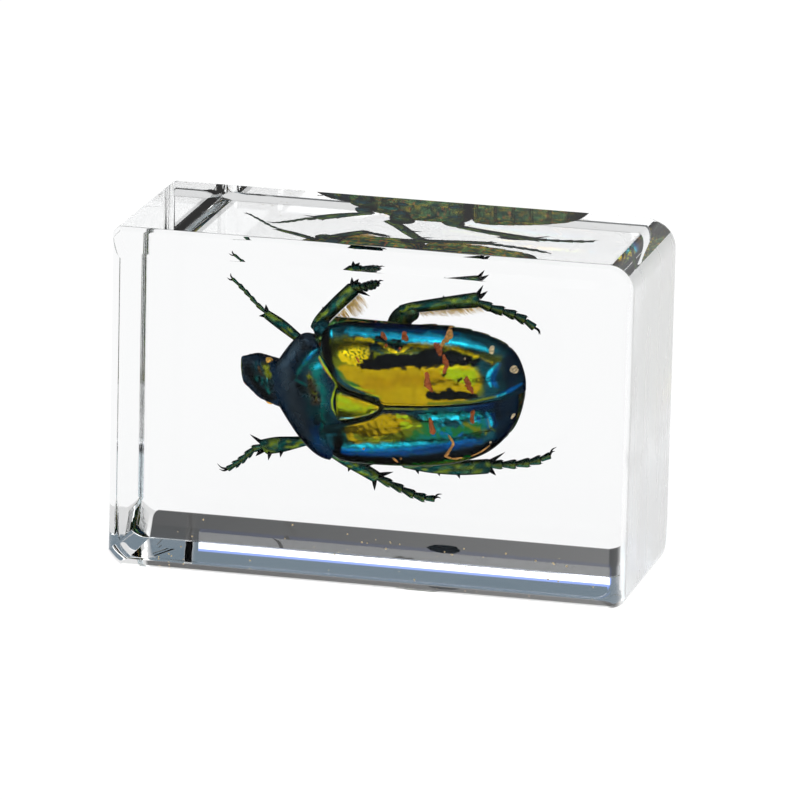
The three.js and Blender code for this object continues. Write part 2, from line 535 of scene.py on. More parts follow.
# Metallic skin: the tint painted on the mesh, broken up by fine noise, with small pits. Its rim is
# how bright it stays at a grazing angle.
def shellFinish(name, roughness=0.2, metallic=1.0, pits=0.35, mottle=0.25, rim=0.35):
    finish, shader = newFinish(name)
    tree = finish.node_tree
    tint = addNode(tree, "ShaderNodeAttribute", attribute_name="tint").outputs["Color"]
    where = addNode(tree, "ShaderNodeTexCoord").outputs["Object"]
    fine = addNode(tree, "ShaderNodeTexNoise", {"Vector": where, "Scale": skinGrain["fine"], "Detail": 5.0})
    shade = rescaled(tree, fine.outputs[0], (0.3, 0.7), (1 - mottle, 1 + mottle))
    mixed = addNode(tree, "ShaderNodeVectorMath", {0: tint}, operation="SCALE")
    tree.links.new(shade, mixed.inputs["Scale"])
    tree.links.new(mixed.outputs[0], shader.inputs["Base Color"])
    shader.inputs["Metallic"].default_value = metallic
    shader.inputs["Specular Tint"].default_value = (rim, rim, rim, 1)
    broad = addNode(tree, "ShaderNodeTexNoise", {"Vector": where, "Scale": skinGrain["broad"], "Detail": 3.0})
    gloss = rescaled(tree, broad.outputs[0], (0.3, 0.7), (roughness * 0.7, roughness * 1.5))
    tree.links.new(gloss, shader.inputs["Roughness"])
    cells = addNode(tree, "ShaderNodeTexVoronoi", {"Vector": where, "Scale": skinGrain["pits"]})
    pit = rescaled(tree, cells.outputs["Distance"], (0.0, 0.35))
    relief = addNode(tree, "ShaderNodeMath", {0: pit, 1: broad.outputs[0]}, operation="ADD").outputs[0]
    dents = {"Strength": pits, "Distance": skinGrain["depth"], "Height": relief}
    bump = addNode(tree, "ShaderNodeBump", dents)
    tree.links.new(bump.outputs[0], shader.inputs["Normal"])
    return finish


wingFinish = shellFinish("wing_lustre", roughness=0.16, pits=0.25, mottle=0.16)
plateFinish = shellFinish("plate_lustre", roughness=0.26, pits=0.18, mottle=0.18)
legFinish = shellFinish("leg_lustre", roughness=0.28, pits=0.5, mottle=0.4)
bellyFinish = shellFinish("belly_lustre", roughness=0.3, pits=0.6, mottle=0.4, rim=0.05)
scaleFinish = shellFinish("pale_scales", roughness=0.6, metallic=0.35, pits=0.8, mottle=0.45)
hairFinish = shellFinish("golden_hair", roughness=0.55, metallic=0.0, pits=0.0, mottle=0.2)
dustFinish = shellFinish("dust", roughness=0.8, metallic=0.0, pits=0.4, mottle=0.2)
eyeFinish = shellFinish("amber_eye", roughness=0.25, metallic=0.8, pits=0.8, mottle=0.2)


wings = {
    "halfWidth": 6.15,
    "broadest": 2.0,  # x where the back is widest and highest
    "tail": 12.4,
    "headSpan": 7.4,  # from the broadest place to where the body's outline ends at the neck
    "root": -4.6,
    "height": 3.55,
    "square": 2.6,  # power of the rounded cross-section
    "gap": 0.04,
    "thickness": 0.3,
    "tuck": 0.5,  # by how much the left tail end is shorter
    "steps": (330, 130),
}

# Outline of the shield between the wing cases, and of the notch that they leave for it: x and y.
shield = {
    "base": -4.45,
    "tip": 0.45,
    "right": [(-4.6, 1.0), (-3.4, 1.0), (-2.1, 0.66), (-0.95, 0.36), (0.0, 0.12), (0.45, -0.1)],
    "left": [
        (-4.6, -1.7), (-3.4, -1.85), (-2.3, -1.6), (-1.0, -1.2), (-0.2, -0.86), (0.25, -0.5),
        (0.45, -0.15),
    ],
    "notchRight": [
        (-4.7, 3.6), (-4.2, 3.2), (-3.7, 2.5), (-3.2, 1.7), (-2.5, 1.15), (-1.4, 0.88), (-0.4, 0.66),
        (0.3, 0.38), (0.6, 0.04),
    ],
    "notchLeft": [
        (-4.7, 2.4), (-3.4, 2.15), (-2.6, 1.9), (-1.7, 1.62), (-0.9, 1.35), (-0.1, 1.0), (0.45, 0.6),
        (0.8, 0.04),
    ],
    "lift": 0.12,
    "steps": (110, 60),
}


# Half width of the body seen from above: 6.15 (1 - t^2.5)^0.39 towards the tail, t from 0 to 1,
# and a blunt shoulder, (1 - t^8)^(1/3), towards the head.
def bodyHalf(x):
    tailward = np.clip((x - wings["broadest"]) / (wings["tail"] - wings["broadest"]), 0, 1)
    headward = np.clip((wings["broadest"] - x) / wings["headSpan"], 0, 1)
    return wings["halfWidth"] * (1 - tailward**2.5) ** 0.39 * (1 - headward**8) ** 0.33


# Height of the keel of the back: a long arch that drops at the tail, (1 - t^3.2)^0.5.
def keel(x):
    tailward = np.clip((x - wings["broadest"]) / (wings["tail"] - wings["broadest"]), 0, 1)
    headward = np.clip(wings["broadest"] - x, 0, None)
    return wings["height"] * (1 - tailward**3.2) ** 0.5 - 0.018 * headward**2


# Bumps of a wing case: height, then place and spread along x, then place and spread across.
wingBumps = {
    "knob": (0.16, 9.9, 0.75, 2.5, 0.7),
    "shoulder": (0.22, -2.9, 0.8, 4.3, 0.6),
    "waist": (-0.18, -0.6, 1.4, 5.6, 0.7),
}


# Relief of the wing cases: a Gaussian hollow beside the seam, a slight rib, the Gaussian bumps, and a
# random ripple that breaks up reflections, all fading out at the tail.
def wingRelief(x, y):
    a = np.abs(y)
    seam = -0.2 * np.exp(-(((a - 1.5) / 0.8) ** 2)) * ease(2.0, 5.0, x) * ease(11.5, 9.0, x)
    rib = 0.03 * np.exp(-(((a - 3.1) / 0.5) ** 2)) * ease(-1.0, 3.0, x) * ease(10.5, 8.0, x)
    relief = seam + rib
    for height, placeX, spreadX, placeY, spreadY in wingBumps.values():
        bump = np.exp(-(((x - placeX) / spreadX) ** 2) - ((a - placeY) / spreadY) ** 2)
        relief = relief + height * bump
    edge = -0.1 * np.exp(-((a / 0.12) ** 2))
    wave = 0.02 * ripple(x, y, 2.6, 40) + 0.008 * ripple(x, y, 0.9, 50)
    return (relief + edge + wave) * ease(12.2, 11.0, x)


# Height of the back at (x, y): keel * (1 - |y / half|^p)^(1/p), plus the relief.
def backHeight(x, y):
    q = np.clip(np.abs(y) / np.maximum(bodyHalf(x), 1e-6), 0, 1)
    arch = (1 - q ** wings["square"]) ** (1 / wings["square"])
    return keel(x) * arch + wingRelief(x, y) * (1 - q**4)


# Catmull-Rom curve through given points, evaluated at n even steps of its parameter.
def smoothPath(rows, n):
    p = np.asarray(rows, float)
    p = np.concatenate([[2 * p[0] - p[1]], p, [2 * p[-1] - p[-2]]])
    t = np.linspace(0, len(rows) - 1, n)
    k = np.minimum(t.astype(int), len(rows) - 2)
    f = (t - k)[:, None]
    a, b, c, d = p[k], p[k + 1], p[k + 2], p[k + 3]
    return 0.5 * (2 * b + (c - a) * f + (2 * a - 5 * b + 4 * c - d) * f**2 + (3 * b - a - 3 * c + d) * f**3)


# Height of an outline at x: a smooth curve through its rows, read off by straight interpolation.
def along(rows, x):
    dense = smoothPath(rows, 60)
    return np.interp(x, dense[:, 0], dense[:, 1])


# Strokes are colour, softness, wobble and a path of x, y and half width, then a speck size where one is
# given.
# They paint the wing cases' lustre as it is seen: the hues of the structural colour with painted reflections
# of the surroundings, black where these are dark and gold and yellow where they are bright, turquoise, yellow
# and lime painted highlights, and painted shade along the base by the neck shield and the shield and along
# the lower margin.
wingReflectionPaint = {
    "right": [
        ("petrol", 1.2, 0.1, [(-3, 3, 3.0), (8, 2.5, 3.0), (10, 2, 2.2)]),
        ("olive", 0.8, 0.1, [(-2.5, 3.5, 1.8), (4, 3.5, 1.6), (9.0, 2.4, 1.7)]),
        ("gold", 0.35, 0.05, [(-2.2, 2.2, 1.1), (0.5, 1.75, 1.75), (5, 1.8, 1.85), (7.6, 1.9, 1.45)]),
        ("lime", 0.5, 0.1, [(6.2, 2.9, 0.4), (8.0, 2.4, 0.75)]),
        ("deepGold", 0.8, 0.15, [(-0.5, 1.7, 0.6), (2.5, 2.3, 0.5), (5.5, 2.4, 0.4)]),
        ("olive", 0.3, 0.2, [(-2.5, 4.5, 0.7), (-1.2, 4.6, 0.8)]),
        ("yellow", 0.25, 0.12, [(-2.0, 4.3, 0.95), (-1.1, 4.2, 1.0)]),
        ("black", 0.15, 0.1, [(-2.9, 4.8, 0.3), (-2.2, 5.2, 0.4), (-1.0, 5.2, 0.3)], 0.3),
        ("olive", 0.2, 0.1, [(-2.1, 4.5, 0.7), (-1.0, 4.5, 0.8)], 0.34),
        ("black", 0.12, 0.08, [(-0.4, 4.9, 0.08), (-0.1, 4.3, 0.14), (-0.5, 3.7, 0.1)]),
        ("green", 0.5, 0.1, [(-0.6, 5.45, 0.2), (3, 5.1, 0.3), (8, 4.6, 0.25)]),
        ("petrol", 0.4, 0.15, [(-0.2, 4.8, 0.3), (2.4, 4.9, 0.4), (5.0, 4.8, 0.4), (8.0, 4.2, 0.3)]),
        ("black", 0.15, 0.1, [(-0.2, 5.2, 0.3), (2.4, 5.1, 0.4), (5.0, 4.9, 0.4), (8.0, 4.3, 0.3)], 0.4),
        ("gold", 0.3, 0.1, [(2.8, 4.9, 0.3), (4.6, 4.9, 0.35), (6.6, 4.6, 0.3)], 0.6),
        ("yellow", 0.12, 0.07, [
            (-1.4, 5.35, 0.06), (-0.4, 5.3, 0.1), (0.6, 5.1, 0.12), (1.5, 4.65, 0.12),
        ]),
        ("yellow", 0.12, 0.07, [(1.5, 4.65, 0.12), (2.2, 4.5, 0.14), (3.0, 5.1, 0.12), (4.6, 5.15, 0.2)]),
        ("yellow", 0.12, 0.07, [
            (4.6, 5.15, 0.2), (6.0, 4.95, 0.16), (6.9, 4.7, 0.14), (9.0, 3.8, 0.1), (10.0, 3.2, 0.04),
        ]),
        ("olive", 0.15, 0.08, [
            (0.4, 4.7, 0.12), (2.0, 4.3, 0.14), (3.4, 4.75, 0.1), (6.5, 4.5, 0.12), (8.6, 3.8, 0.08),
        ]),
        ("turquoise", 0.35, 0.05, [
            (-2.4, 5.75, 0.12), (0.4, 5.68, 0.22), (3, 5.62, 0.34), (5.5, 5.48, 0.36),
        ]),
        ("turquoise", 0.35, 0.05, [
            (5.5, 5.48, 0.36), (7.2, 5.15, 0.28), (8.6, 4.7, 0.18), (9.6, 4.2, 0.05),
        ]),
        ("deepBlue", 0.25, 0.05, [(0.0, 6.02, 0.1), (4.6, 5.95, 0.12), (7.0, 5.55, 0.08)]),
        ("black", 0.1, 0.05, [(0.2, 5.5, 0.14), (0.9, 5.45, 0.16)]),
        ("black", 0.1, 0.05, [(1.6, 5.4, 0.12), (2.2, 5.35, 0.12)]),
        ("black", 0.16, 0.12, [
            (-0.9, 3.4, 0.25), (0.2, 3.6, 0.5), (1.6, 3.85, 0.6), (3.0, 3.9, 0.6), (4.4, 4.05, 0.7),
        ]),
        ("black", 0.16, 0.12, [
            (4.4, 4.05, 0.7), (5.5, 4.15, 0.68), (7.2, 3.95, 0.5), (8.3, 3.6, 0.32), (9.5, 3.2, 0.1),
        ]),
        ("black", 0.12, 0.08, [(-1.1, 3.95, 0.12), (-0.5, 3.6, 0.2)]),
        ("black", 0.12, 0.08, [(4.7, 0.95, 0.3), (6.3, 1.0, 0.45), (7.9, 0.75, 0.28), (8.6, 0.7, 0.18)]),
        ("black", 0.1, 0.06, [(5.9, 2.7, 0.18), (6.2, 2.85, 0.05)]),
        ("black", 0.1, 0.06, [(7.15, 2.1, 0.12), (7.4, 2.3, 0.06)]),
        ("petrol", 0.7, 0.1, [(9.3, 3.2, 0.5), (10.0, 2.0, 0.9), (9.8, 0.9, 0.6)]),
        ("navy", 0.6, 0.1, [(11.1, 3.3, 0.4), (11.6, 1.9, 0.9), (11.4, 0.9, 0.4)]),
        ("blue", 0.4, 0.0, [(10.5, 3.0, 0.1), (10.0, 2.5, 0.3), (9.9, 1.8, 0.28), (10.3, 1.2, 0.02)]),
        ("turquoise", 0.25, 0.0, [
            (10.35, 3.1, 0.08), (9.75, 2.6, 0.16), (9.55, 2.0, 0.18), (9.8, 1.3, 0.02),
        ]),
        ("blue", 0.14, 0.0, [(10.1, 0.42, 0.1), (11.3, 0.66, 0.2), (12.1, 0.85, 0.1)]),
        ("turquoise", 0.1, 0.0, [(10.1, 0.38, 0.08), (10.9, 0.5, 0.1)]),
        ("olive", 0.15, 0.02, [(4.6, 0.3, 0.12), (8, 0.25, 0.12), (10.2, 0.4, 0.08)]),
        ("green", 0.3, 0.05, [(-3.1, 2.6, 0.2), (-2.4, 1.9, 0.2), (-1.4, 1.5, 0.15)]),
        ("petrol", 0.15, 0.02, [
            (-3.6, 3.0, 0.2), (-3.1, 2.1, 0.25), (-2.4, 1.5, 0.22), (-1.4, 1.15, 0.16),
            (0.3, 0.6, 0.16),
        ]),
        ("lime", 0.08, 0.03, [
            (-2.6, 1.85, 0.02), (-1.6, 1.45, 0.05), (-0.6, 1.3, 0.06), (0.2, 1.25, 0.02),
        ]),
        ("lime", 0.08, 0.03, [(-0.7, 0.98, 0.03), (0.2, 0.85, 0.06), (0.75, 0.7, 0.02)]),
        ("black", 0.3, 0.03, [(-4.6, 5.6, 0.5), (-4.1, 4.6, 0.5), (-3.9, 3.4, 0.4), (-3.5, 2.6, 0.2)]),
        ("turquoise", 0.2, 0.02, [(-3.75, 5.6, 0.1), (-3.7, 5.3, 0.1)]),
        ("lime", 0.14, 0.02, [(-3.72, 5.0, 0.06), (-3.78, 4.6, 0.04)]),
    ],
    "left": [
        ("petrol", 0.8, 0.1, [(-3.2, -3.0, 1.5), (2, -2.6, 1.8), (9, -2.0, 1.6)]),
        ("teal", 0.8, 0.1, [(0.0, -3.2, 0.6), (4.5, -2.2, 1.0), (8.6, -1.8, 1.0)]),
        ("green", 0.7, 0.15, [(-2.0, -2.8, 0.9), (1.5, -2.2, 1.1), (4.0, -1.9, 0.7)]),
        ("olive", 0.5, 0.15, [(-1.8, -2.9, 0.9), (1.5, -2.3, 0.9), (3.4, -1.6, 0.6)]),
        ("gold", 0.35, 0.08, [
            (-1.8, -2.6, 0.9), (-0.6, -2.0, 1.0), (1.0, -1.6, 0.95), (2.4, -1.3, 0.65),
        ]),
        ("olive", 0.3, 0.15, [(-1.9, -3.0, 0.25), (-0.4, -3.1, 0.3)]),
        ("lime", 0.12, 0.06, [(2.0, -0.85, 0.2), (3.3, -1.0, 0.04)]),
        ("lime", 0.12, 0.06, [(2.4, -1.6, 0.3), (3.9, -1.75, 0.04)]),
        ("petrol", 0.3, 0.05, [(3.0, -0.5, 0.1), (5.0, -0.3, 0.2), (8, -0.2, 0.15)]),
        ("teal", 0.6, 0.2, [(4.0, -0.9, 0.1), (5.2, -1.0, 0.35), (6.8, -1.1, 0.4), (8.6, -1.2, 0.3)]),
        ("turquoise", 0.9, 0.2, [(4.4, -1.2, 0.15), (6.0, -1.3, 0.45), (8.4, -1.4, 0.3)], 1.3),
        ("blue", 0.8, 0.2, [(5.0, -2.2, 0.2), (7.0, -2.6, 0.3), (8.8, -1.2, 0.2)], 1.1),
        ("green", 0.4, 0.1, [(3.6, -2.4, 0.4), (6.0, -2.4, 0.6), (8.0, -2.2, 0.5)], 0.8),
        ("deepBlue", 0.4, 0.1, [(6.5, -0.5, 0.15), (9.0, -0.5, 0.25), (10.2, -0.4, 0.15)]),
        ("teal", 0.3, 0.1, [(4.2, -0.5, 0.1), (6.5, -0.6, 0.15), (8.6, -0.8, 0.1)]),
        ("petrol", 0.3, 0.2, [(5.6, -1.6, 0.2), (6.6, -1.5, 0.25), (7.4, -2.4, 0.2)]),
        ("green", 0.4, 0.25, [(7.2, -2.2, 0.3), (8.9, -2.2, 0.4)]),
        ("olive", 0.3, 0.1, [(7.6, -1.6, 0.1), (8.4, -2.3, 0.16), (9.4, -2.6, 0.14)]),
        ("olive", 0.15, 0.03, [(0.9, -0.22, 0.06), (4.5, -0.18, 0.06)]),
        ("black", 0.1, 0.02, [(0.9, -0.42, 0.05), (3.2, -0.42, 0.05)]),
        ("teal", 0.5, 0.1, [(-3.2, -4.0, 0.2), (-1.5, -4.0, 0.35), (2, -3.6, 0.3), (5.4, -3.1, 0.2)]),
        ("turquoise", 0.6, 0.1, [
            (-3.0, -3.95, 0.02), (-1.6, -3.85, 0.1), (1.6, -3.55, 0.08), (4.2, -3.3, 0.02),
        ]),
        ("blue", 0.6, 0.1, [
            (-3.0, -4.3, 0.12), (0.2, -4.1, 0.16), (3.6, -3.7, 0.16), (6.2, -3.4, 0.2),
            (8.2, -3.2, 0.14),
        ]),
        ("deepBlue", 0.5, 0.1, [
            (-3.0, -4.7, 0.15), (0.2, -4.55, 0.2), (3.6, -4.1, 0.22), (6.2, -3.75, 0.25),
            (8.8, -3.5, 0.2),
        ]),
        ("black", 0.5, 0.08, [
            (-4, -5.9, 0.9), (0, -5.9, 1.05), (4, -5.7, 1.25), (8, -5.1, 1.2), (10.5, -4.2, 0.8),
        ]),
        ("green", 0.2, 0.1, [(-2, -5.9, 0.2), (3, -5.8, 0.25), (7.5, -5.0, 0.2)], 0.35),
        ("olive", 0.15, 0.1, [(-2, -6.0, 0.15), (3, -5.95, 0.2), (7.5, -5.2, 0.2)], 0.3),
        ("navy", 1.1, 0.1, [(11.0, -0.8, 0.5), (11.4, -2.0, 0.8), (10.8, -3.4, 0.5)]),
        ("deepBlue", 0.3, 0.05, [(10.1, -1.3, 0.28), (10.3, -2.0, 0.25)]),
        ("blue", 0.6, 0.05, [(9.5, -0.9, 0.1), (9.8, -1.5, 0.3), (9.9, -2.2, 0.1)]),
        ("turquoise", 0.3, 0.05, [(9.6, -1.0, 0.04), (9.85, -1.5, 0.14), (10.0, -2.1, 0.03)]),
        ("lime", 0.12, 0.02, [(9.6, -1.5, 0.02), (9.8, -2.2, 0.05), (10.3, -2.7, 0.02)]),
        ("black", 0.3, 0.05, [
            (-3.2, -2.6, 0.2), (-3.3, -3.6, 0.3), (-3.5, -4.6, 0.35), (-3.6, -5.6, 0.4),
        ]),
        ("teal", 0.2, 0.04, [(-2.7, -2.6, 0.08), (-2.7, -3.3, 0.1), (-2.9, -4.1, 0.06)]),
        ("petrol", 0.1, 0.0, [
            (-3.0, -2.15, 0.1), (-1.7, -1.7, 0.08), (-0.6, -1.3, 0.08), (0.6, -0.65, 0.08),
        ]),
    ],
}


# A wing case: at each x a closed loop, out over the back from the seam to the margin and back
# along an inner arch that is thinner by the shell's thickness.
def wingCase(side, strokes):
    n, m = wings["steps"]
    s = (1 - np.cos(np.linspace(0.0, 1.0, n) * math.pi)) / 2
    x = (wings["root"] + (wings["tail"] - 0.02 - wings["root"]) * s)[:, None]
    tuck = wings["tuck"] * ease(7.5, wings["tail"], x) * (side < 0)
    half = bodyHalf(x)
    notch = along(shield["notchRight" if side > 0 else "notchLeft"], x)
    inner = np.minimum(np.maximum(notch, wings["gap"]), half * 0.8)
    q = np.sin(np.linspace(0, math.pi / 2, m))[None, :]
    y = inner + (half - inner) * q
    top = backHeight(x, side * y)
    bevel = 0.2 * np.exp(-(((y - inner) / 0.14) ** 2)) * ease(0.9, 0.3, x)
    top = top - bevel
    under = top * (1 - wings["thickness"] / np.maximum(keel(x), 0.6)) - 0.02
    insideHalf = np.maximum(half - wings["thickness"], inner + 0.3 * (half - inner))
    upper = np.stack(np.broadcast_arrays(x, side * y, top), -1)
    lower = np.stack(np.broadcast_arrays(x, side * (inner + (insideHalf - inner) * q), under), -1)
    rings = np.concatenate([upper, lower[:, ::-1]], 1)
    # The upper skin takes the strokes: painted reflections, highlights and shade over the navy base.
    tint = painted(rings[..., 0], rings[..., 1], "navy", strokes)
    tint[:, m:] = lustre["brown"]
    rings[..., 0] -= tuck
    return skin(rings, tint, capped=False)


addPart("right_wing_case", wingCase(1, wingReflectionPaint["right"]), wingFinish)
addPart("left_wing_case", wingCase(-1, wingReflectionPaint["left"]), wingFinish)


# The shield's lustre as it is seen: its hues with painted reflections, lime, yellow and turquoise painted
# highlights, and black painted shade along its front where it dips under the neck shield.
shieldReflectionPaint = [
    ("olive", 0.4, 0.03, [(-3.4, -0.6, 1.3), (-2.0, -0.3, 0.95), (0.2, -0.15, 0.2)]),
    ("gold", 0.35, 0.05, [(-2.9, -0.5, 1.1), (-1.6, -0.35, 0.85), (0.1, -0.15, 0.28)]),
    ("lime", 0.9, 0.1, [(-2.9, -0.7, 0.5), (-1.6, -0.5, 0.4), (-0.4, -0.3, 0.2)]),
    ("lime", 0.3, 0.06, [(-3.2, 0.2, 0.3), (-2.2, 0.1, 0.2)]),
    ("teal", 0.4, 0.05, [(-3.4, -1.55, 0.15), (-2.9, -1.5, 0.1)]),
    ("turquoise", 0.12, 0.02, [(-3.3, -1.4, 0.04), (-2.4, -1.38, 0.05), (-1.8, -1.25, 0.02)]),
    ("lime", 0.12, 0.02, [
        (-3.2, -1.15, 0.07), (-2.2, -1.15, 0.09), (-1.3, -0.95, 0.08), (-0.2, -0.55, 0.06),
    ]),
    ("yellow", 0.1, 0.02, [(-1.4, 0.42, 0.03), (-0.3, 0.15, 0.05), (0.2, -0.05, 0.03)]),
    ("black", 0.12, 0.02, [(-3.1, 1.2, 0.05), (-3.4, 0.5, 0.06), (-3.5, -0.4, 0.06), (-3.1, -1.9, 0.08)]),
    ("lime", 0.1, 0.02, [
        (-2.85, 0.8, 0.04), (-3.1, 0.3, 0.06), (-3.15, -0.4, 0.06), (-2.95, -1.1, 0.03),
    ]),
]


# The shield: a low plate between its two outlines, crowned by 1 - v^2, with rounded rims; its
# front dips under the neck shield.
def makeShield():
    n, m = shield["steps"]
    t = np.sin(np.linspace(0, 1, n) * math.pi / 2)
    x = (shield["base"] + (shield["tip"] - 0.01 - shield["base"]) * t)[:, None]
    v = np.sin(np.linspace(-1, 1, m) * math.pi / 2)[None, :]
    right, left = along(shield["right"], x), along(shield["left"], x)
    y = (right + left) / 2 + v * np.maximum(right - left, 0.03) / 2
    crown = shield["lift"] * (1 - v**2)
    rim = 0.22 * np.abs(v) ** 14
    top = keel(x) - 0.1 + crown + 0.012 * ripple(x, y, 1.2, 61) - rim
    top = top - 0.6 * ease(-3.25, -3.6, x)
    under = keel(x) - 0.6
    upper = np.stack(np.broadcast_arrays(x, y, top), -1)
    lower = np.stack(np.broadcast_arrays(x, y, under), -1)
    rings = np.concatenate([upper, lower[:, ::-1]], 1)
    tint = painted(rings[..., 0], rings[..., 1], "petrol", shieldReflectionPaint)
    return skin(rings, tint, capped=False)


addPart("scutellum", makeShield(), wingFinish)
print("wing cases and shield done")


neck = {
    "front": -9.2,
    "frontHalf": 2.0,
    "spread": 3.45,
    "frontRise": 1.3,
    "crown": 1.45,
    "square": 2.2,
    "slant": (0.35, -1.1),  # middle line: sideways start, and drift from front to back
    "steps": (110, 150),
}

# The neck shield's lustre as it is seen: slate, petrol and navy hues with painted reflections, teal,
# turquoise, blue and lime painted highlights, and black painted shade in its dent, along its hind edge and at
# its front under the head.
neckReflectionPaint = [
    ("slate", 1.6, 0.2, [(-8.0, 2.0, 0.3), (-7.4, 0.6, 0.8), (-6.8, -1.6, 0.8), (-6.2, -3.4, 0.3)]),
    ("slate", 1.2, 0.2, [(-8.0, 2.4, 0.2), (-6.8, 3.8, 0.5), (-5.2, 5.2, 0.4)]),
    ("petrol", 1.4, 0.1, [(-5.4, 2.6, 0.8), (-4.9, 0, 1.2), (-4.6, -3, 1.0)]),
    ("deepBlue", 1.2, 0.1, [(-5.4, -2.4, 0.2), (-5.3, -3.4, 0.3), (-5.2, -4.2, 0.2)]),
    ("teal", 0.7, 0.08, [(-4.6, 3.0, 0.3), (-5.1, 2.4, 0.4), (-5.0, 1.0, 0.35)]),
    ("turquoise", 0.5, 0.05, [(-4.75, 2.75, 0.1), (-5.1, 2.5, 0.12)]),
    ("teal", 0.6, 0.1, [(-4.5, 1.0, 0.1), (-4.6, -0.6, 0.15), (-4.7, -2.0, 0.3), (-4.5, -3.4, 0.25)]),
    ("teal", 0.3, 0.05, [
        (-5.0, 3.85, 0.06), (-5.5, 3.5, 0.14), (-6.1, 2.7, 0.12), (-6.6, 1.9, 0.1), (-6.8, 1.2, 0.05),
    ]),
    ("turquoise", 0.16, 0.03, [(-4.95, 3.95, 0.06), (-5.3, 3.7, 0.07), (-5.6, 3.4, 0.02)]),
    ("blue", 0.25, 0.05, [(-5.2, 3.75, 0.06), (-5.8, 3.1, 0.08), (-6.2, 2.6, 0.03)]),
    ("brown", 0.8, 0.12, [(-5.6, 1.7, 0.15), (-5.4, 0.9, 0.3), (-5.2, -0.2, 0.3)]),
    ("olive", 0.5, 0.15, [(-5.6, 1.6, 0.2), (-5.3, 0.4, 0.35), (-5.2, -0.2, 0.2)], 0.5),
    ("black", 0.2, 0.08, [(-5.5, 1.2, 0.4), (-5.1, -0.2, 0.45)], 0.28),
    ("black", 0.5, 0.08, [(-6.7, 0.7, 0.2), (-6.3, 0.3, 0.25), (-6.0, 0.3, 0.1)]),
    ("teal", 0.25, 0.03, [(-6.9, 1.15, 0.05), (-6.3, 1.0, 0.08), (-5.9, 0.9, 0.03)]),
    ("lime", 0.14, 0.02, [
        (-4.75, 3.4, 0.04), (-4.1, 2.4, 0.08), (-3.5, 1.7, 0.09), (-3.25, 1.3, 0.09),
        (-3.5, 0.6, 0.08),
    ]),
    ("lime", 0.14, 0.02, [
        (-3.5, 0.6, 0.08), (-3.72, 0.0, 0.07), (-3.72, -0.7, 0.06), (-3.35, -1.6, 0.04),
    ]),
    ("rust", 0.1, 0.0, [(-4.8, 3.3, 0.02), (-4.3, 2.5, 0.03), (-3.7, 1.8, 0.02)]),
    ("deepBlue", 0.4, 0.05, [(-4.9, -2.2, 0.05), (-5.2, -3.0, 0.12), (-5.1, -3.7, 0.05)]),
    ("blue", 0.2, 0.02, [(-3.0, -2.9, 0.08), (-3.4, -3.8, 0.1), (-4.0, -4.8, 0.05)]),
    ("black", 0.12, 0.02, [
        (-2.95, 1.4, 0.06), (-3.35, 0.4, 0.1), (-3.42, -0.7, 0.1), (-2.8, -2.1, 0.08),
        (-2.65, -2.6, 0.06),
    ]),
    ("black", 0.3, 0.05, [(-9.2, 1.8, 0.3), (-9.3, 0.4, 0.4), (-9.2, -1.2, 0.3)]),
]


# Hind edge of the neck shield at q, -1 to 1 across: two Gaussian lobes beside the middle, drawn in
# at the corners by 1.53 |q|^3 + 0.4 q |q|.
def neckHind(q):
    lobes = 0.35 * np.exp(-(((q - 0.385) / 0.15) ** 2)) + 0.7 * np.exp(-(((q + 0.32) / 0.15) ** 2))
    return -3.42 + lobes - 1.53 * np.abs(q) ** 3 - 0.4 * q * np.abs(q)


# Neck shield: rings from the front edge to the hind edge, whose half width grows as sin and
# whose arch is (1 - |q|^p)^(1/p); each ring goes out over the top and back underneath.
def makeNeck():
    n, m = neck["steps"]
    s = np.sin(np.linspace(0, 1, n) * math.pi / 2)[:, None] ** 1.4
    q = np.sin(np.linspace(-1, 1, m) * math.pi / 2)[None, :]
    grow = np.sin(s * math.pi / 2)
    half = neck["frontHalf"] + neck["spread"] * grow + np.where(q < 0, 0.32, 0.08) * np.sin(s * math.pi)
    front = neck["front"] + 0.55 * np.abs(q) ** 2 + 0.25 * q
    x = front + (neckHind(q) - front) * s
    y = neck["slant"][0] + neck["slant"][1] * s + q * half
    arch = (1 - np.abs(q) ** neck["square"]) ** (1 / neck["square"])
    rise = neck["frontRise"] + neck["crown"] * grow**0.9
    rounding = 0.45 * (1 - s) ** 8 + 0.18 * s**30
    wave = 0.02 * ripple(x, y, 2.0, 70) + 0.006 * ripple(x, y, 0.7, 71)
    dent = -0.1 * np.exp(-(((x + 6.6) / 0.5) ** 2) - ((y - 0.9) / 0.5) ** 2)
    z = rise * arch - 0.2 * (1 - s) - rounding * arch + (wave + dent) * (1 - q**6)
    under = (z + 0.1) * 0.82 - 0.25
    upper = np.stack(np.broadcast_arrays(x, y, z), -1)
    lower = np.stack(np.broadcast_arrays(x + 0.05 * (1 - s), y - q * 0.15, under), -1)
    rings = np.concatenate([upper, lower[:, ::-1]], 1)
    tint = painted(rings[..., 0], rings[..., 1], "navy", neckReflectionPaint)
    tint[:, m:] = lustre["navy"]
    return skin(rings, tint, capped=False)


addPart("pronotum", makeNeck(), plateFinish)

skull = {
    "front": -11.85,
    "back": -8.2,
    "steps": (70, 96),
    "square": 3.2,
}

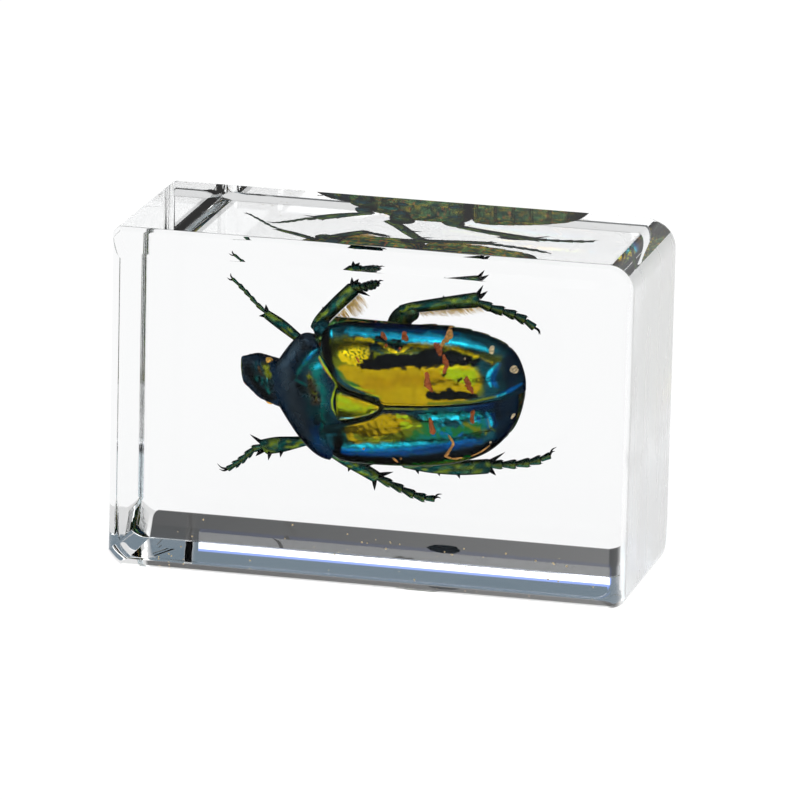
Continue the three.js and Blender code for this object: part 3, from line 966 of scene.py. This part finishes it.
# The head's lustre as it is seen: slate and petrol hues with black painted reflections, and teal and
# turquoise painted highlights.
skullReflectionPaint = [
    ("slate", 1.2, 0.15, [(-11.4, 0.9, 0.9), (-10.4, 0.3, 1.0), (-9.4, -0.4, 0.9)]),
    ("black", 0.6, 0.1, [(-11.2, 0.9, 0.4), (-10.4, -0.4, 0.4), (-9.4, -1.2, 0.4)]),
    ("petrol", 0.8, 0.1, [(-10.2, 1.2, 0.4), (-9.6, 0.3, 0.5)]),
    ("teal", 0.4, 0.06, [(-10.3, 0.4, 0.12), (-9.8, 0.2, 0.2), (-9.4, -0.6, 0.12)]),
    ("turquoise", 0.2, 0.06, [(-9.6, 0.9, 0.05), (-9.5, 0.5, 0.06)]),
    ("black", 0.2, 0.05, [(-11.4, 1.0, 0.7), (-9.4, -0.2, 1.1)], 0.25),
    ("olive", 0.14, 0.03, [(-11.75, 1.5, 0.06), (-11.85, 0.6, 0.05), (-11.8, -0.3, 0.05)]),
    ("rust", 0.1, 0.02, [(-11.6, -0.5, 0.03), (-10.9, -1.2, 0.04), (-10.0, -1.7, 0.03)]),
    ("olive", 0.35, 0.08, [(-9.7, 1.6, 0.15), (-9.4, 0.9, 0.25)]),
    ("brown", 0.2, 0.05, [(-10.2, 1.3, 0.05), (-9.9, 0.7, 0.08)]),
]


# Head: squarish loops from the notched front edge back to the neck. The half width opens quickly
# from the front edge, and the crown and the chin follow arches of their own.
def makeSkull():
    n, m = skull["steps"]
    t = ((1 - np.cos(np.linspace(0, 1, n) * math.pi)) / 2)[:, None]
    turn = np.linspace(0, 2 * math.pi, m, endpoint=False)[None, :]
    cos, sin = np.cos(turn), np.sin(turn)
    u = np.sign(cos) * np.abs(cos) ** (2 / skull["square"])
    v = np.sign(sin) * np.abs(sin) ** (2 / 2.4)
    half = (1.22 + 0.66 * ease(0, 0.45, t) + 0.12 * t) * (1 - (1 - t) ** 60) ** 0.5
    crown = (0.16 + 1.0 * np.sin(t * math.pi / 2) ** 0.9) * (1 - (1 - t) ** 40) ** 0.5
    chin = (0.3 + 1.9 * np.sin(t * math.pi / 2) ** 0.8) * (1 - (1 - t) ** 24) ** 0.5
    middle = 0.62 - 0.82 * t
    y = middle + half * u
    notch = 0.28 * np.exp(-(((u + 0.1) / 0.16) ** 2)) * (1 - t) ** 6
    corner = 0.12 * np.clip(-u, 0, 1) ** 3 * (1 - t) ** 3
    x = skull["front"] + (skull["back"] - skull["front"]) * t + notch + corner + 0 * y
    rim = 0.14 * np.exp(-(((t - 0.03) / 0.03) ** 2))
    z = -0.15 + np.where(v > 0, (crown + rim) * v, chin * v) + 0.03 * ripple(x, y, 0.5, 75)
    rings = np.stack(np.broadcast_arrays(x, y, z), -1)
    tint = painted(rings[..., 0], rings[..., 1], "navy", skullReflectionPaint)
    return skin(rings, tint)


addPart("head", makeSkull(), plateFinish)


# Lump: a closed ellipsoid with its rings along x, (-cos a, sin a cos b, sin a sin b), swollen by a
# ripple where it is rough.
def lump(centre, radii, tint, steps=(24, 32), seed=0, rough=0.0):
    n, m = steps
    a = np.linspace(0.02, math.pi - 0.02, n)[:, None]
    b = np.linspace(0, 2 * math.pi, m, endpoint=False)[None, :]
    ring = np.sin(a)
    shape = np.stack(np.broadcast_arrays(-np.cos(a), ring * np.cos(b), ring * np.sin(b)), -1)
    swell = 1 + rough * ripple(4 * shape[..., 1] + 2 * a, 4 * shape[..., 2], 3.0, seed)
    return skin(np.array(centre) + shape * swell[..., None] * np.array(radii), tint)


# Eyes: centre and radii.
eyes = {
    "right_eye": ((-9.4, 1.78, 0.0), (0.4, 0.34, 0.5)),
    "left_eye": ((-9.5, -1.75, -0.3), (0.42, 0.34, 0.5)),
}
eyeTint = linear((255, 196, 90))
for name, (centre, radii) in eyes.items():
    addPart(name, lump(centre, radii, eyeTint), eyeFinish)
print("head and neck shield done")


belly = {
    "steps": (240, 120),
    "hair": 0.75,  # how much of the tint the pale hair at each plate's flank takes
    "middle": 0.75,  # height of the hidden upper half
    "darkTail": (10.4, 11.6),  # x where the tint darkens towards the tail, and how much
    "tailShade": 0.85,
}

# The two parts of the underside: from and to along x, where plates overlap, and the step at each.
chest = {"span": (-8.6, 2.6), "grooves": (-5.2, -3.6, 2.4), "plateStep": 0.1}
abdomen = {"span": (2.2, 12.2), "grooves": (3.1, 4.8, 6.3, 7.8, 9.3, 10.8), "plateStep": 0.14}


# Underside between the legs: loops whose upper half hides in the wing cases and whose lower half
# is a blunt keel; each overlapping plate steps down and leaves a groove at its hind edge.
def makeBelly(part, depthAt, halfAt):
    n, m = belly["steps"]
    start, end = part["span"]
    grooves, plateStep = part["grooves"], part["plateStep"]
    t = ((1 - np.cos(np.linspace(0, 1, n) * math.pi)) / 2)[:, None]
    x = start + (end - start) * t
    closing = (1 - np.abs(2 * t - 1) ** 14) ** 0.5
    turn = np.linspace(0, 2 * math.pi, m, endpoint=False)[None, :]
    cos, sin = np.cos(turn), np.sin(turn)
    u = np.sign(cos) * np.abs(cos) ** (2 / 3.8)
    v = np.sign(sin) * np.abs(sin) ** (2 / 2.4)
    step = 0
    for groove in grooves:
        step = step - plateStep * 1.2 * np.exp(-(((x - groove) / 0.09) ** 2))
        step = step + plateStep * np.clip(1 - (groove - x) / 1.5, 0, 1) * (x < groove)
    half = (halfAt(x) + 0.5 * step) * closing
    depth = (depthAt(x) + step) * closing
    y = half * u
    keelGroove = 0.12 * np.exp(-((y / 0.15) ** 2)) * (depth > 1)
    wave = 0.03 * ripple(x, y, 1.2, 80) + 0.015 * ripple(x, y, 0.4, 81)
    z = np.where(v > 0, belly["middle"] * closing * v, (depth + wave - keelGroove) * v)
    rings = np.stack(np.broadcast_arrays(x, y, z), -1)
    flank = np.abs(u) ** 3
    spread = (0.6 + 0.4 * flank)[..., None]
    glow = (0.5 + 0.5 * ripple(x, y, 1.6, 82))[..., None]
    warm = ease(0.2, 1.2, ripple(x, y + z, 0.9, 84))[..., None] * spread
    fiery = ease(0.7, 1.5, ripple(x, y + z, 0.7, 85))[..., None] * spread
    tint = lustre["petrol"] * (1.2 - 0.7 * spread) + lustre["green"] * spread * 0.8
    tint = tint * (0.55 + 0.45 * glow) + lustre["olive"] * 0.8 * glow * spread
    tint = tint * (1 - 0.8 * warm) + lustre["gold"] * 1.2 * warm
    tint = tint * (1 - fiery) + lustre["rust"] * 1.3 * fiery
    tint = tint * (1 + 0.4 * flank[..., None] * (u > 0)[..., None])
    tint = tint * (1 - belly["tailShade"] * ease(*belly["darkTail"], x)[..., None])
    for groove in grooves:
        reach = (groove - x - 0.25 - 0.35 * (v + 0.6)) / 0.22
        band = np.exp(-(((np.abs(v) - 0.55) / 0.3) ** 2)) * (v < 0)
        hairy = np.exp(-(reach**2)) * band * belly["hair"]
        hairy = (hairy * (0.6 + 0.4 * ripple(x * 2, y * 2 + z * 3, 0.5, 83)))[..., None]
        tint = tint * (1 - np.clip(hairy, 0, 1)) + lustre["tan"] * np.clip(hairy, 0, 1)
    return skin(rings, np.broadcast_to(tint, rings.shape))


# Depth of the chest at x: smooth steps down to the legs and up at the neck.
def chestDepth(x):
    return 3.4 + 0.9 * ease(-7.5, -3.5, x) - 0.5 * ease(-8.5, -9.5, x)


# Half width of the chest at x: smooth steps out to the shoulders.
def chestHalf(x):
    return 2.2 + 2.3 * ease(-8.8, -5.2, x) + 1.6 * ease(-5.2, -3.6, x) - 0.15 * ease(-3.0, 2.0, x)


# Depth of the abdomen at x: one smooth step up towards the tail.
def abdomenDepth(x):
    return 4.1 - 1.2 * ease(4.0, 12.0, x)


# Half width of the abdomen at x: the body's, less the margin that hides under the wing cases.
def abdomenHalf(x):
    return np.maximum(bodyHalf(x) - 0.3, 0.5)


addPart("chest_plate", makeBelly(chest, chestDepth, chestHalf), bellyFinish)
addPart("abdomen", makeBelly(abdomen, abdomenDepth, abdomenHalf), bellyFinish)

# Small plates at the shoulders and the knob between the legs: centre and radii.
shoulders = {
    "right_shoulder_plate": ((-4.7, 5.05, -0.6), (0.85, 0.75, 1.0)),
    "left_shoulder_plate": ((-4.7, -5.05, -0.6), (0.85, 0.75, 1.0)),
}
knob = ((-4.3, 0, -4.55), (0.9, 0.5, 0.45))
for name, (centre, radii) in shoulders.items():
    plate = lump(centre, radii, lustre["petrol"], seed=5, rough=0.02)
    addPart(name, plate, plateFinish)
addPart("chest_knob", lump(*knob, lustre["teal"]), bellyFinish)
print("underside done")


# Limb: an oval section carried along a path whose rows are x, y, z, half width and half thickness.
# The width lies across the path and across the back's normal, so its broad side faces up. The last share of
# each end, blunt, is rounded off as sqrt(1 - (1 - edge)^2). Its sides are painted black as shade, and where a
# highlight colour is given, its middle carries patches of painted highlight in that colour and in teal.
def limb(rows, n, m, blunt, tint, highlightTint=None):
    path = smoothPath(rows, n)
    centre, half, thick = path[:, :3], path[:, 3:4], path[:, 4:5]
    run = np.gradient(centre, axis=0)
    run = run / np.linalg.norm(run, axis=1, keepdims=True)
    side = np.cross((0.0, 0.0, 1.0), run)
    side = side / np.maximum(np.linalg.norm(side, axis=1, keepdims=True), 1e-6)
    top = np.cross(run, side)
    t = np.linspace(0, 1, n)[:, None]
    close = np.ones_like(t)
    if blunt:
        edge = np.minimum(np.clip(t / blunt, 0, 1), np.clip((1 - t) / blunt, 0, 1))
        close = np.sqrt(np.maximum(1 - (1 - edge) ** 2, 0.02))
    turn = np.linspace(0, 2 * math.pi, m, endpoint=False)
    cos, sin = np.cos(turn)[None, :, None], np.sin(turn)[None, :, None]
    rings = (
        centre[:, None]
        + side[:, None] * cos * (half * close)[:, None]
        + top[:, None] * sin * (thick * close)[:, None]
    )
    # Painted shade: the sides of the section darken to black.
    dark = np.abs(cos) ** 1.6
    colour = tint * (1 - dark) + lustre["black"] * dark
    if highlightTint is not None:
        reach = np.linalg.norm(path[-1, :3] - path[0, :3])
        where = t[..., None] * reach * 0.45 + 0 * cos, cos * 0.55 + 0 * t[..., None]
        # Painted highlights down the middle: patches of the highlight colour, then of teal.
        highlightShare = ease(-0.4, 0.7, ripple(*where, 0.7, 90)) * (1 - dark) ** 1.5 * 0.85
        shade = ease(0.2, 1.2, ripple(*where, 0.6, 91)) * (1 - dark) ** 1.5 * 0.7
        colour = colour * (1 - highlightShare) + highlightTint * highlightShare
        colour = colour * (1 - shade) + lustre["teal"] * 0.8 * shade
    return skin(rings, np.broadcast_to(colour, rings.shape))


# Thorn: a short limb that narrows from its root to a point.
def thorn(root, tip, radius):
    root, tip = np.array(root, float), np.array(tip, float)
    shape = ((0, 1), (0.5, 0.62), (1, 0.06))
    rows = [(*(root + (tip - root) * f), radius * w, radius * w * 0.8) for f, w in shape]
    return limb(rows, 6, 7, 0, lustre["black"])


# How broad a foot's joint is at shares of its length: a middle one, then the last one.
jointShape = ((0, 0.55), (0.35, 0.7), (0.9, 0.95), (1.06, 0.7))
lastJoint = ((0, 0.5), (0.5, 0.6), (1.0, 0.7), (1.1, 0.4))


# Foot: five joints, each narrow at its root, broad and cut off square at its end, then two claws.
def foot(stops, claws, width=0.3):
    parts = []
    for k, (a, b) in enumerate(zip(stops[:-1], stops[1:])):
        a, b = np.array(a, float), np.array(b, float)
        last = k == len(stops) - 2
        shape = lastJoint if last else jointShape
        rows = [(*(a + (b - a) * f), width * w, width * w * 0.75) for f, w in shape]
        # Each joint is dark green with olive painted highlights.
        parts.append(limb(rows, 14, 12, 0.08, lustre["legGreen"], lustre["olive"] * 0.9))
        if not last:
            run = (b - a) / np.linalg.norm(b - a)
            side = np.cross((0, 0, 1), run)
            for sign in (1, -1):
                corner = b + side * sign * width * 0.75
                parts.append(thorn(corner - run * 0.15, corner + run * 0.18 + side * sign * 0.02, 0.06))
    end = np.array(stops[-1], float)
    for tip in claws:
        tip = np.array(tip, float)
        run = tip - end
        bow = np.cross((0, 0, 1), run) * 0.18
        rows = [(*end, 0.1, 0.09), (*(end + run * 0.55 + bow), 0.075, 0.06), (*tip, 0.012, 0.012)]
        parts.append(limb(rows, 12, 8, 0, lustre["black"]))
    return parts


# Rows of a thigh or shin are x, y, z, half width and half thickness.
legs = {
    "front_right": {
        "thigh": [(-6.6, 1.2, -4.2, 0.7, 0.6), (-6.5, 2.4, -3.4, 0.7, 0.5), (-6.4, 3.4, -2.4, 0.45, 0.4)],
        "shin": [
            (-6.3, 3.05, -1.9, 0.3, 0.28), (-7.2, 3.55, -2.1, 0.42, 0.3),
            (-8.6, 4.3, -2.6, 0.52, 0.28), (-10.1, 5.0, -3.0, 0.42, 0.22),
        ],
        "teeth": [
            ((-8.7, 4.75, -2.6), (-8.95, 5.05, -2.65)), ((-9.8, 5.3, -3.0), (-9.95, 5.75, -3.05)),
            ((-9.9, 4.7, -3.0), (-10.6, 4.6, -3.1)),
        ],
        "foot": [
            (-9.8, 4.95, -2.95), (-10.75, 5.4, -3.6), (-11.35, 5.72, -4.2), (-11.95, 5.98, -4.85),
            (-12.5, 6.2, -5.4), (-13.15, 6.4, -6.1),
        ],
        "claws": [(-13.75, 6.35, -6.4), (-13.4, 6.85, -6.3)],
        "footWidth": 0.25,
    },
    "middle_right": {
        "thigh": [
            (-3.3, 1.6, -4.0, 0.7, 0.6), (-4.4, 3.0, -3.2, 0.85, 0.55), (-5.4, 4.4, -2.1, 0.65, 0.45),
        ],
        "shin": [
            (-5.7, 4.4, -1.9, 0.45, 0.4), (-5.1, 5.35, -2.05, 0.55, 0.42),
            (-3.7, 6.85, -2.45, 0.6, 0.4), (-2.2, 8.3, -2.8, 0.62, 0.36),
        ],
        "teeth": [
            ((-2.6, 8.6, -2.8), (-2.45, 9.15, -2.75)), ((-2.3, 8.75, -2.8), (-1.85, 9.1, -2.6)),
            ((-1.9, 7.9, -2.8), (-0.9, 7.75, -2.3)), ((-4.9, 6.2, -2.2), (-5.0, 6.5, -2.2)),
        ],
        "foot": [
            (-2.5, 8.25, -2.7), (-1.65, 8.5, -2.3), (-1.15, 8.6, -2.1), (-0.75, 8.85, -1.8),
            (-0.45, 9.0, -1.6), (-0.1, 9.2, -1.4),
        ],
        "claws": [(0.5, 9.5, -1.2), (0.3, 9.25, -1.0)],
        "footWidth": 0.46,
    },
    "hind_right": {
        "thigh": [
            (1.2, 1.8, -3.8, 0.8, 0.7), (1.1, 4.0, -3.2, 1.0, 0.6), (1.8, 6.0, -2.2, 0.95, 0.5),
            (3.2, 6.75, -2.0, 0.6, 0.4),
        ],
        "shin": [
            (1.6, 6.6, -2.0, 0.5, 0.4), (2.9, 7.0, -2.0, 0.48, 0.34), (6.0, 7.35, -2.15, 0.58, 0.34),
            (8.4, 7.5, -2.2, 0.7, 0.3),
        ],
        "teeth": [
            ((8.1, 8.0, -2.2), (8.75, 8.75, -2.2)), ((8.4, 7.9, -2.2), (9.1, 8.2, -2.2)),
            ((5.3, 7.75, -2.1), (5.4, 8.0, -2.1)), ((8.4, 7.0, -2.2), (9.9, 6.1, -2.0)),
        ],
        "foot": [
            (8.1, 7.3, -2.2), (9.3, 6.8, -2.1), (10.35, 6.4, -2.05), (11.35, 6.0, -1.95),
            (12.2, 5.5, -1.9), (12.95, 4.85, -1.8),
        ],
        "claws": [(13.5, 4.2, -1.6), (13.35, 4.1, -1.9)],
        "footWidth": 0.46,
    },
    "front_left": {
        "thigh": [
            (-6.6, -1.6, -4.2, 0.7, 0.6), (-6.7, -3.2, -3.4, 0.75, 0.5), (-6.6, -5.0, -2.0, 0.5, 0.4),
        ],
        "shin": [
            (-6.5, -5.35, -1.7, 0.34, 0.28), (-7.8, -5.8, -2.0, 0.52, 0.3),
            (-9.4, -6.5, -2.75, 0.7, 0.28), (-11.0, -7.3, -3.6, 0.66, 0.24),
        ],
        "teeth": [
            ((-9.0, -7.0, -2.6), (-9.3, -7.6, -2.7)), ((-10.1, -7.6, -3.2), (-10.45, -8.25, -3.3)),
            ((-11.0, -7.8, -3.7), (-11.6, -8.25, -3.8)), ((-10.9, -6.7, -3.6), (-12.0, -6.4, -3.8)),
        ],
        "foot": [
            (-10.8, -7.1, -3.6), (-11.75, -7.65, -3.85), (-12.35, -8.35, -3.9), (-12.95, -9.0, -4.0),
            (-13.5, -9.5, -4.05), (-14.1, -10.0, -4.1),
        ],
        "claws": [(-15.05, -9.8, -4.25), (-14.9, -10.25, -4.2)],
        "footWidth": 0.34,
    },
    "middle_left": {
        "thigh": [
            (-3.3, -1.6, -4.2, 0.7, 0.6), (-3.4, -3.8, -3.9, 1.0, 0.55), (-3.6, -6.0, -2.9, 1.1, 0.45),
            (-4.6, -6.5, -2.5, 0.6, 0.4),
        ],
        "shin": [
            (-4.9, -6.3, -2.7, 0.6, 0.4), (-3.7, -7.35, -3.5, 0.62, 0.4),
            (-2.6, -8.4, -4.6, 0.6, 0.36), (-1.5, -9.45, -5.6, 0.55, 0.32),
        ],
        "teeth": [
            ((-1.9, -9.8, -5.4), (-1.8, -10.6, -5.6)), ((-1.2, -9.0, -5.6), (-0.1, -8.8, -5.5)),
            ((-3.6, -8.1, -3.7), (-3.7, -8.5, -3.8)), ((-2.4, -7.8, -4.5), (-1.3, -7.8, -4.6)),
        ],
        "foot": [
            (-1.7, -9.3, -5.6), (-0.45, -9.95, -5.75), (0.55, -10.35, -5.65), (1.55, -10.75, -5.5),
            (2.5, -11.0, -5.4), (3.3, -11.0, -5.3),
        ],
        "claws": [(4.05, -10.6, -5.35), (3.95, -10.9, -5.1)],
        "footWidth": 0.44,
    },
    "hind_left": {
        "thigh": [
            (1.2, -1.8, -3.8, 0.8, 0.7), (0.9, -4.0, -3.3, 1.0, 0.6), (0.9, -6.0, -2.5, 0.95, 0.5),
            (1.4, -6.8, -2.4, 0.6, 0.4),
        ],
        "shin": [
            (1.1, -6.8, -2.4, 0.5, 0.4), (3.4, -7.35, -3.05, 0.6, 0.38),
            (6.0, -7.75, -3.8, 0.66, 0.36), (8.5, -7.95, -4.6, 0.66, 0.32),
        ],
        "teeth": [
            ((4.0, -7.9, -3.3), (4.2, -8.35, -3.35)), ((5.6, -8.3, -3.7), (5.85, -8.7, -3.75)),
            ((2.3, -7.6, -2.7), (2.5, -8.0, -2.75)), ((8.3, -8.5, -4.5), (8.8, -8.8, -4.6)),
            ((8.2, -7.4, -4.5), (9.7, -6.7, -4.3)),
        ],
        "foot": [
            (8.1, -7.8, -4.6), (9.35, -7.9, -4.7), (10.5, -7.95, -4.72), (11.65, -7.9, -4.75),
            (12.6, -7.75, -4.8), (13.4, -7.5, -4.9),
        ],
        "claws": [(14.0, -6.85, -5.0), (13.9, -7.1, -4.7)],
        "footWidth": 0.46,
    },
}


# A leg in three pieces: the thigh, the shin with thorns rooted halfway into it, and the clawed foot.
def makeLeg(name, leg):
    hip = np.array(leg["thigh"][0][:3])
    joint = lump(hip, (0.75, 0.7, 0.6), lustre["petrol"], (16, 20))
    # Thigh and shin are dark green with olive and lime painted highlights.
    thigh = limb(leg["thigh"], 40, 28, 0.1, lustre["legGreen"], lustre["olive"])
    addPart(name + "_thigh", joined([joint, thigh]), legFinish)
    shin = [limb(leg["shin"], 60, 28, 0.05, lustre["legGreen"], lustre["lime"] * 0.7)]
    path = smoothPath(leg["shin"], 60)[:, :3]
    for root, tip in leg["teeth"]:
        near = path[np.argmin(np.linalg.norm(path - root, axis=1))]
        shin.append(thorn((near + root) / 2, tip, 0.24))
    addPart(name + "_shin", joined(shin), legFinish)
    addPart(name + "_foot", joined(foot(leg["foot"], leg["claws"], leg["footWidth"])), legFinish)


for name, leg in legs.items():
    makeLeg(name, leg)
print("legs done")


# Hairs: all at once, each a three-sided taper in five steps that bows sideways by bow at its middle.
def hairs(roots, tips, radius, bow, tint):
    t = np.linspace(0, 1, 5)[None, :, None]
    run = (tips - roots)[:, None]
    path = roots[:, None] + run * t + bow[:, None] * (4 * t * (1 - t))
    size = radius * (1 - 0.85 * t)
    first = np.cross(run, (0.3, 0.4, 0.86))
    first = first / np.maximum(np.linalg.norm(first, axis=-1, keepdims=True), 1e-6)
    second = np.cross(run, first)
    second = second / np.maximum(np.linalg.norm(second, axis=-1, keepdims=True), 1e-6)
    sides = [path + size * (first * math.cos(a) + second * math.sin(a)) for a in np.radians((0, 120, 240))]
    rings = np.stack(sides, 2)
    count, n, m, _ = rings.shape
    ids = np.arange(count * n * m).reshape(count, n, m)
    near, far = ids[:, :-1], ids[:, 1:]
    quads = np.stack([near, np.roll(near, -1, 2), np.roll(far, -1, 2), far], -1).reshape(-1, 4)
    tris = np.concatenate([ids[:, 0, ::-1], ids[:, -1]])
    points = rings.reshape(-1, 3)
    colours = np.broadcast_to(tint, points.shape).copy()
    return {"points": points, "quads": quads, "tris": tris, "tint": colours}


fringeHair = {"radius": 0.022, "tint": linear((255, 212, 84))}


# Fringe: hairs rooted along a line a-b, all leaning the same way, with a little random spread.
def fringe(a, b, lean, count, length, seed):
    draw = np.random.default_rng(seed)
    a, b, lean = np.array(a, float), np.array(b, float), np.array(lean, float)
    t = np.sort(draw.uniform(0, 1, count))[:, None]
    roots = a + (b - a) * t + draw.normal(0, 0.03, (count, 3))
    taper = 0.45 + 0.55 * np.sin(np.clip(t, 0, 1) * math.pi * 0.5 + 0.3)
    tips = roots + lean * length * taper * draw.uniform(0.7, 1.1, (count, 1))
    tips = tips + draw.normal(0, 0.06, (count, 3))
    bow = draw.normal(0, 0.05, (count, 3))
    return hairs(roots, tips, fringeHair["radius"], bow, fringeHair["tint"])


# Fringes: the line's two ends, the lean, the number of hairs, their length and the seed.
fringes = {
    "middle_right_fringe": ((-4.4, 5.2, -2.3), (-1.9, 7.7, -2.8), (0.62, -0.78, 0.1), 190, 1.3, 21),
    "hind_right_fringe": ((3.0, 6.6, -2.2), (8.2, 6.95, -2.3), (0.7, -0.71, 0.1), 230, 0.9, 22),
}
for name, values in fringes.items():
    addPart(name, fringe(*values), hairFinish)
print("fringes done")


# Feelers folded under the head, each a bent stem with a club of three plates, and the mouthparts.
feelers = {
    "right_feeler": (0.6, 0.5),
    "left_feeler": (-0.3, -0.7),
}
for name, (start, side) in feelers.items():
    stem = [
        (-9.9, start, -1.3, 0.14, 0.12),
        (-10.5, start + side * 0.5, -1.5, 0.12, 0.1),
        (-10.1, start + side * 1.1, -1.5, 0.08, 0.08),
    ]
    feeler = [limb(stem, 16, 10, 0.1, lustre["brown"])]
    for k in range(3):
        place = (-9.8 + 0.05 * k, start + side * (1.25 + 0.06 * k), -1.4 - 0.08 * k)
        feeler.append(lump(place, (0.45, 0.12, 0.1), lustre["brown"]))
    addPart(name, joined(feeler), legFinish)
mouth = [lump((-10.9, y, -0.9), (0.6, 0.4, 0.3), lustre["brown"]) for y in (0.9, 0.0)]
for y, lean in ((1.2, 0.4), (-0.3, -0.4)):
    palp = [
        (-10.6, y, -1.0, 0.1, 0.1),
        (-11.1, y + lean, -1.4, 0.09, 0.09),
        (-11.4, y + lean * 0.6, -1.5, 0.05, 0.05),
    ]
    mouth.append(limb(palp, 14, 8, 0.1, lustre["brown"]))
addPart("mouthparts", joined(mouth), legFinish)

# Dust caught in the resin near the foot of the block, as tiny rough grains, and one dark crumb.
dust = {
    "count": 46,
    "size": (0.03, 0.09),
    "low": (-18, -8.0, 0.6),
    "high": (19, -1.0, 4.2),
    "seed": 31,
    "crumb": (5.6, -0.4, 2.6),
    "crumbSize": (1.3, 0.45, 0.34),
}
draw = np.random.default_rng(dust["seed"])
grains = []
for k in range(dust["count"]):
    size = draw.uniform(*dust["size"]) * np.array([1.0, 0.8, 0.9])
    grains.append(lump(draw.uniform(dust["low"], dust["high"]), size, lustre["cream"], (6, 8), k, 0.2))
makePiece("dust_specks", joined(grains), dustFinish)
crumb = lump(dust["crumb"], dust["crumbSize"], lustre["slate"] * 0.4, (24, 30), 9, 0.12)
makePiece("dark_crumb", crumb, dustFinish)
print("feelers, mouthparts and dust done")


markShape = {"steps": (44, 15), "thick": 0.06, "sink": 0.03, "ragged": 0.34}


# A mark: a thin lens of scales laid on the back along a path of x, y and half width. Its edge is
# ragged by ripples and its top stands up as sqrt(1 - v^2).
def scaleMark(path, tint, seed):
    rows = np.array(path, float)
    if len(rows) == 1:
        rows = np.concatenate([rows, rows + (0.02, 0.02, 0)])
    n, m = markShape["steps"]
    line = smoothPath(rows, n)
    run = np.gradient(line[:, :2], axis=0)
    run = run / np.linalg.norm(run, axis=1, keepdims=True)
    start = line[0, :2] - run[0] * line[0, 2]
    end = line[-1, :2] + run[-1] * line[-1, 2]
    centre = line[:, :2].copy()
    t = np.linspace(0, 1, n)
    centre = centre + (start - line[0, :2]) * (np.clip(1 - t * 4, 0, 1)[:, None] ** 2)
    centre = centre + (end - line[-1, :2]) * (np.clip(1 - (1 - t) * 4, 0, 1)[:, None] ** 2)
    side = np.stack([-run[:, 1], run[:, 0]], -1)
    close = np.sqrt(np.clip(1 - np.abs(2 * t - 1) ** 8, 0.01, 1))
    v = np.linspace(-1, 1, m)
    ragged = 1 + markShape["ragged"] * ripple(centre[:, :1] * 3, centre[:, 1:] * 3 + v * 2, 0.9, seed)
    reach = (line[:, 2] * close)[:, None] * v * ragged
    x = centre[:, :1] + side[:, :1] * reach
    y = centre[:, 1:] + side[:, 1:] * reach
    ground = backHeight(x, y)
    crown = markShape["thick"] * np.sqrt(1 - v**2) * close[:, None]
    crown = crown * (1 + 0.3 * ripple(x, y, 0.25, seed + 1))
    upper = np.stack([x, y, ground + crown + 0.01], -1)
    lower = np.stack([x, y, ground - markShape["sink"]], -1)
    rings = np.concatenate([upper, lower[:, ::-1]], 1)
    speck = 0.85 + 0.25 * ripple(rings[..., 0], rings[..., 1], 0.2, seed + 2)[..., None]
    return skin(rings, np.asarray(tint) * speck, capped=False)


marks = [
    ("tan", [(6.2, 5.8, 0.2), (6.3, 5.55, 0.22), (5.9, 5.25, 0.14), (5.7, 5.0, 0.1)]),
    ("rust", [(5.2, 5.1, 0.16), (5.55, 4.8, 0.24), (5.65, 4.4, 0.16)]),
    ("rust", [(5.95, 4.2, 0.14), (6.2, 3.5, 0.18), (6.0, 2.95, 0.16)]),
    ("rust", [(4.55, 2.8, 0.24), (4.6, 1.9, 0.26), (4.9, 1.35, 0.14)]),
    ("rust", [(7.85, 2.3, 0.18), (7.95, 1.7, 0.22), (8.3, 1.0, 0.12)]),
    ("rust", [(0.65, 5.75, 0.16), (1.0, 5.5, 0.12)]),
    ("rust", [(1.05, 5.0, 0.12)]),
    ("rust", [(2.25, 4.8, 0.1)]),
    ("rust", [(2.5, 5.75, 0.22), (2.75, 5.5, 0.18)]),
    ("rust", [(-1.4, 3.9, 0.1), (-1.2, 3.6, 0.06)]),
    ("rust", [(4.65, -1.1, 0.15), (4.75, -1.75, 0.22), (4.85, -2.25, 0.26)]),
    ("rust", [(8.3, -0.6, 0.14), (8.15, -1.15, 0.14), (8.2, -1.6, 0.16)]),
    ("tan", [(6.15, -2.6, 0.07), (6.5, -3.3, 0.1), (6.15, -4.0, 0.1), (5.75, -4.6, 0.14)]),
    ("tan", [(5.7, -4.65, 0.1), (6.3, -4.95, 0.1), (7.0, -4.95, 0.1)]),
    ("tan", [(1.3, -4.9, 0.1), (1.55, -5.3, 0.08)]),
    ("tan", [(1.9, -4.9, 0.08)]),
    ("tan", [(-1.2, -4.1, 0.09)]),
    ("tan", [(7.8, -4.9, 0.06), (8.7, -4.5, 0.07), (9.4, -4.0, 0.05)]),
    ("cream", [(9.8, 4.3, 0.18), (9.9, 4.05, 0.14)]),
    ("cream", [(11.55, 2.35, 0.26), (11.75, 2.1, 0.2)]),
    ("cream", [(11.5, -1.6, 0.12), (11.35, -1.8, 0.1)]),
    ("cream", [(9.5, -3.7, 0.07)]),
    ("cream", [(7.7, 3.9, 0.06)]),
]
shells = [scaleMark(path, lustre[colour], 200 + 5 * k) for k, (colour, path) in enumerate(marks)]
addPart("scale_marks", joined(shells), scaleFinish)
print("marks done")
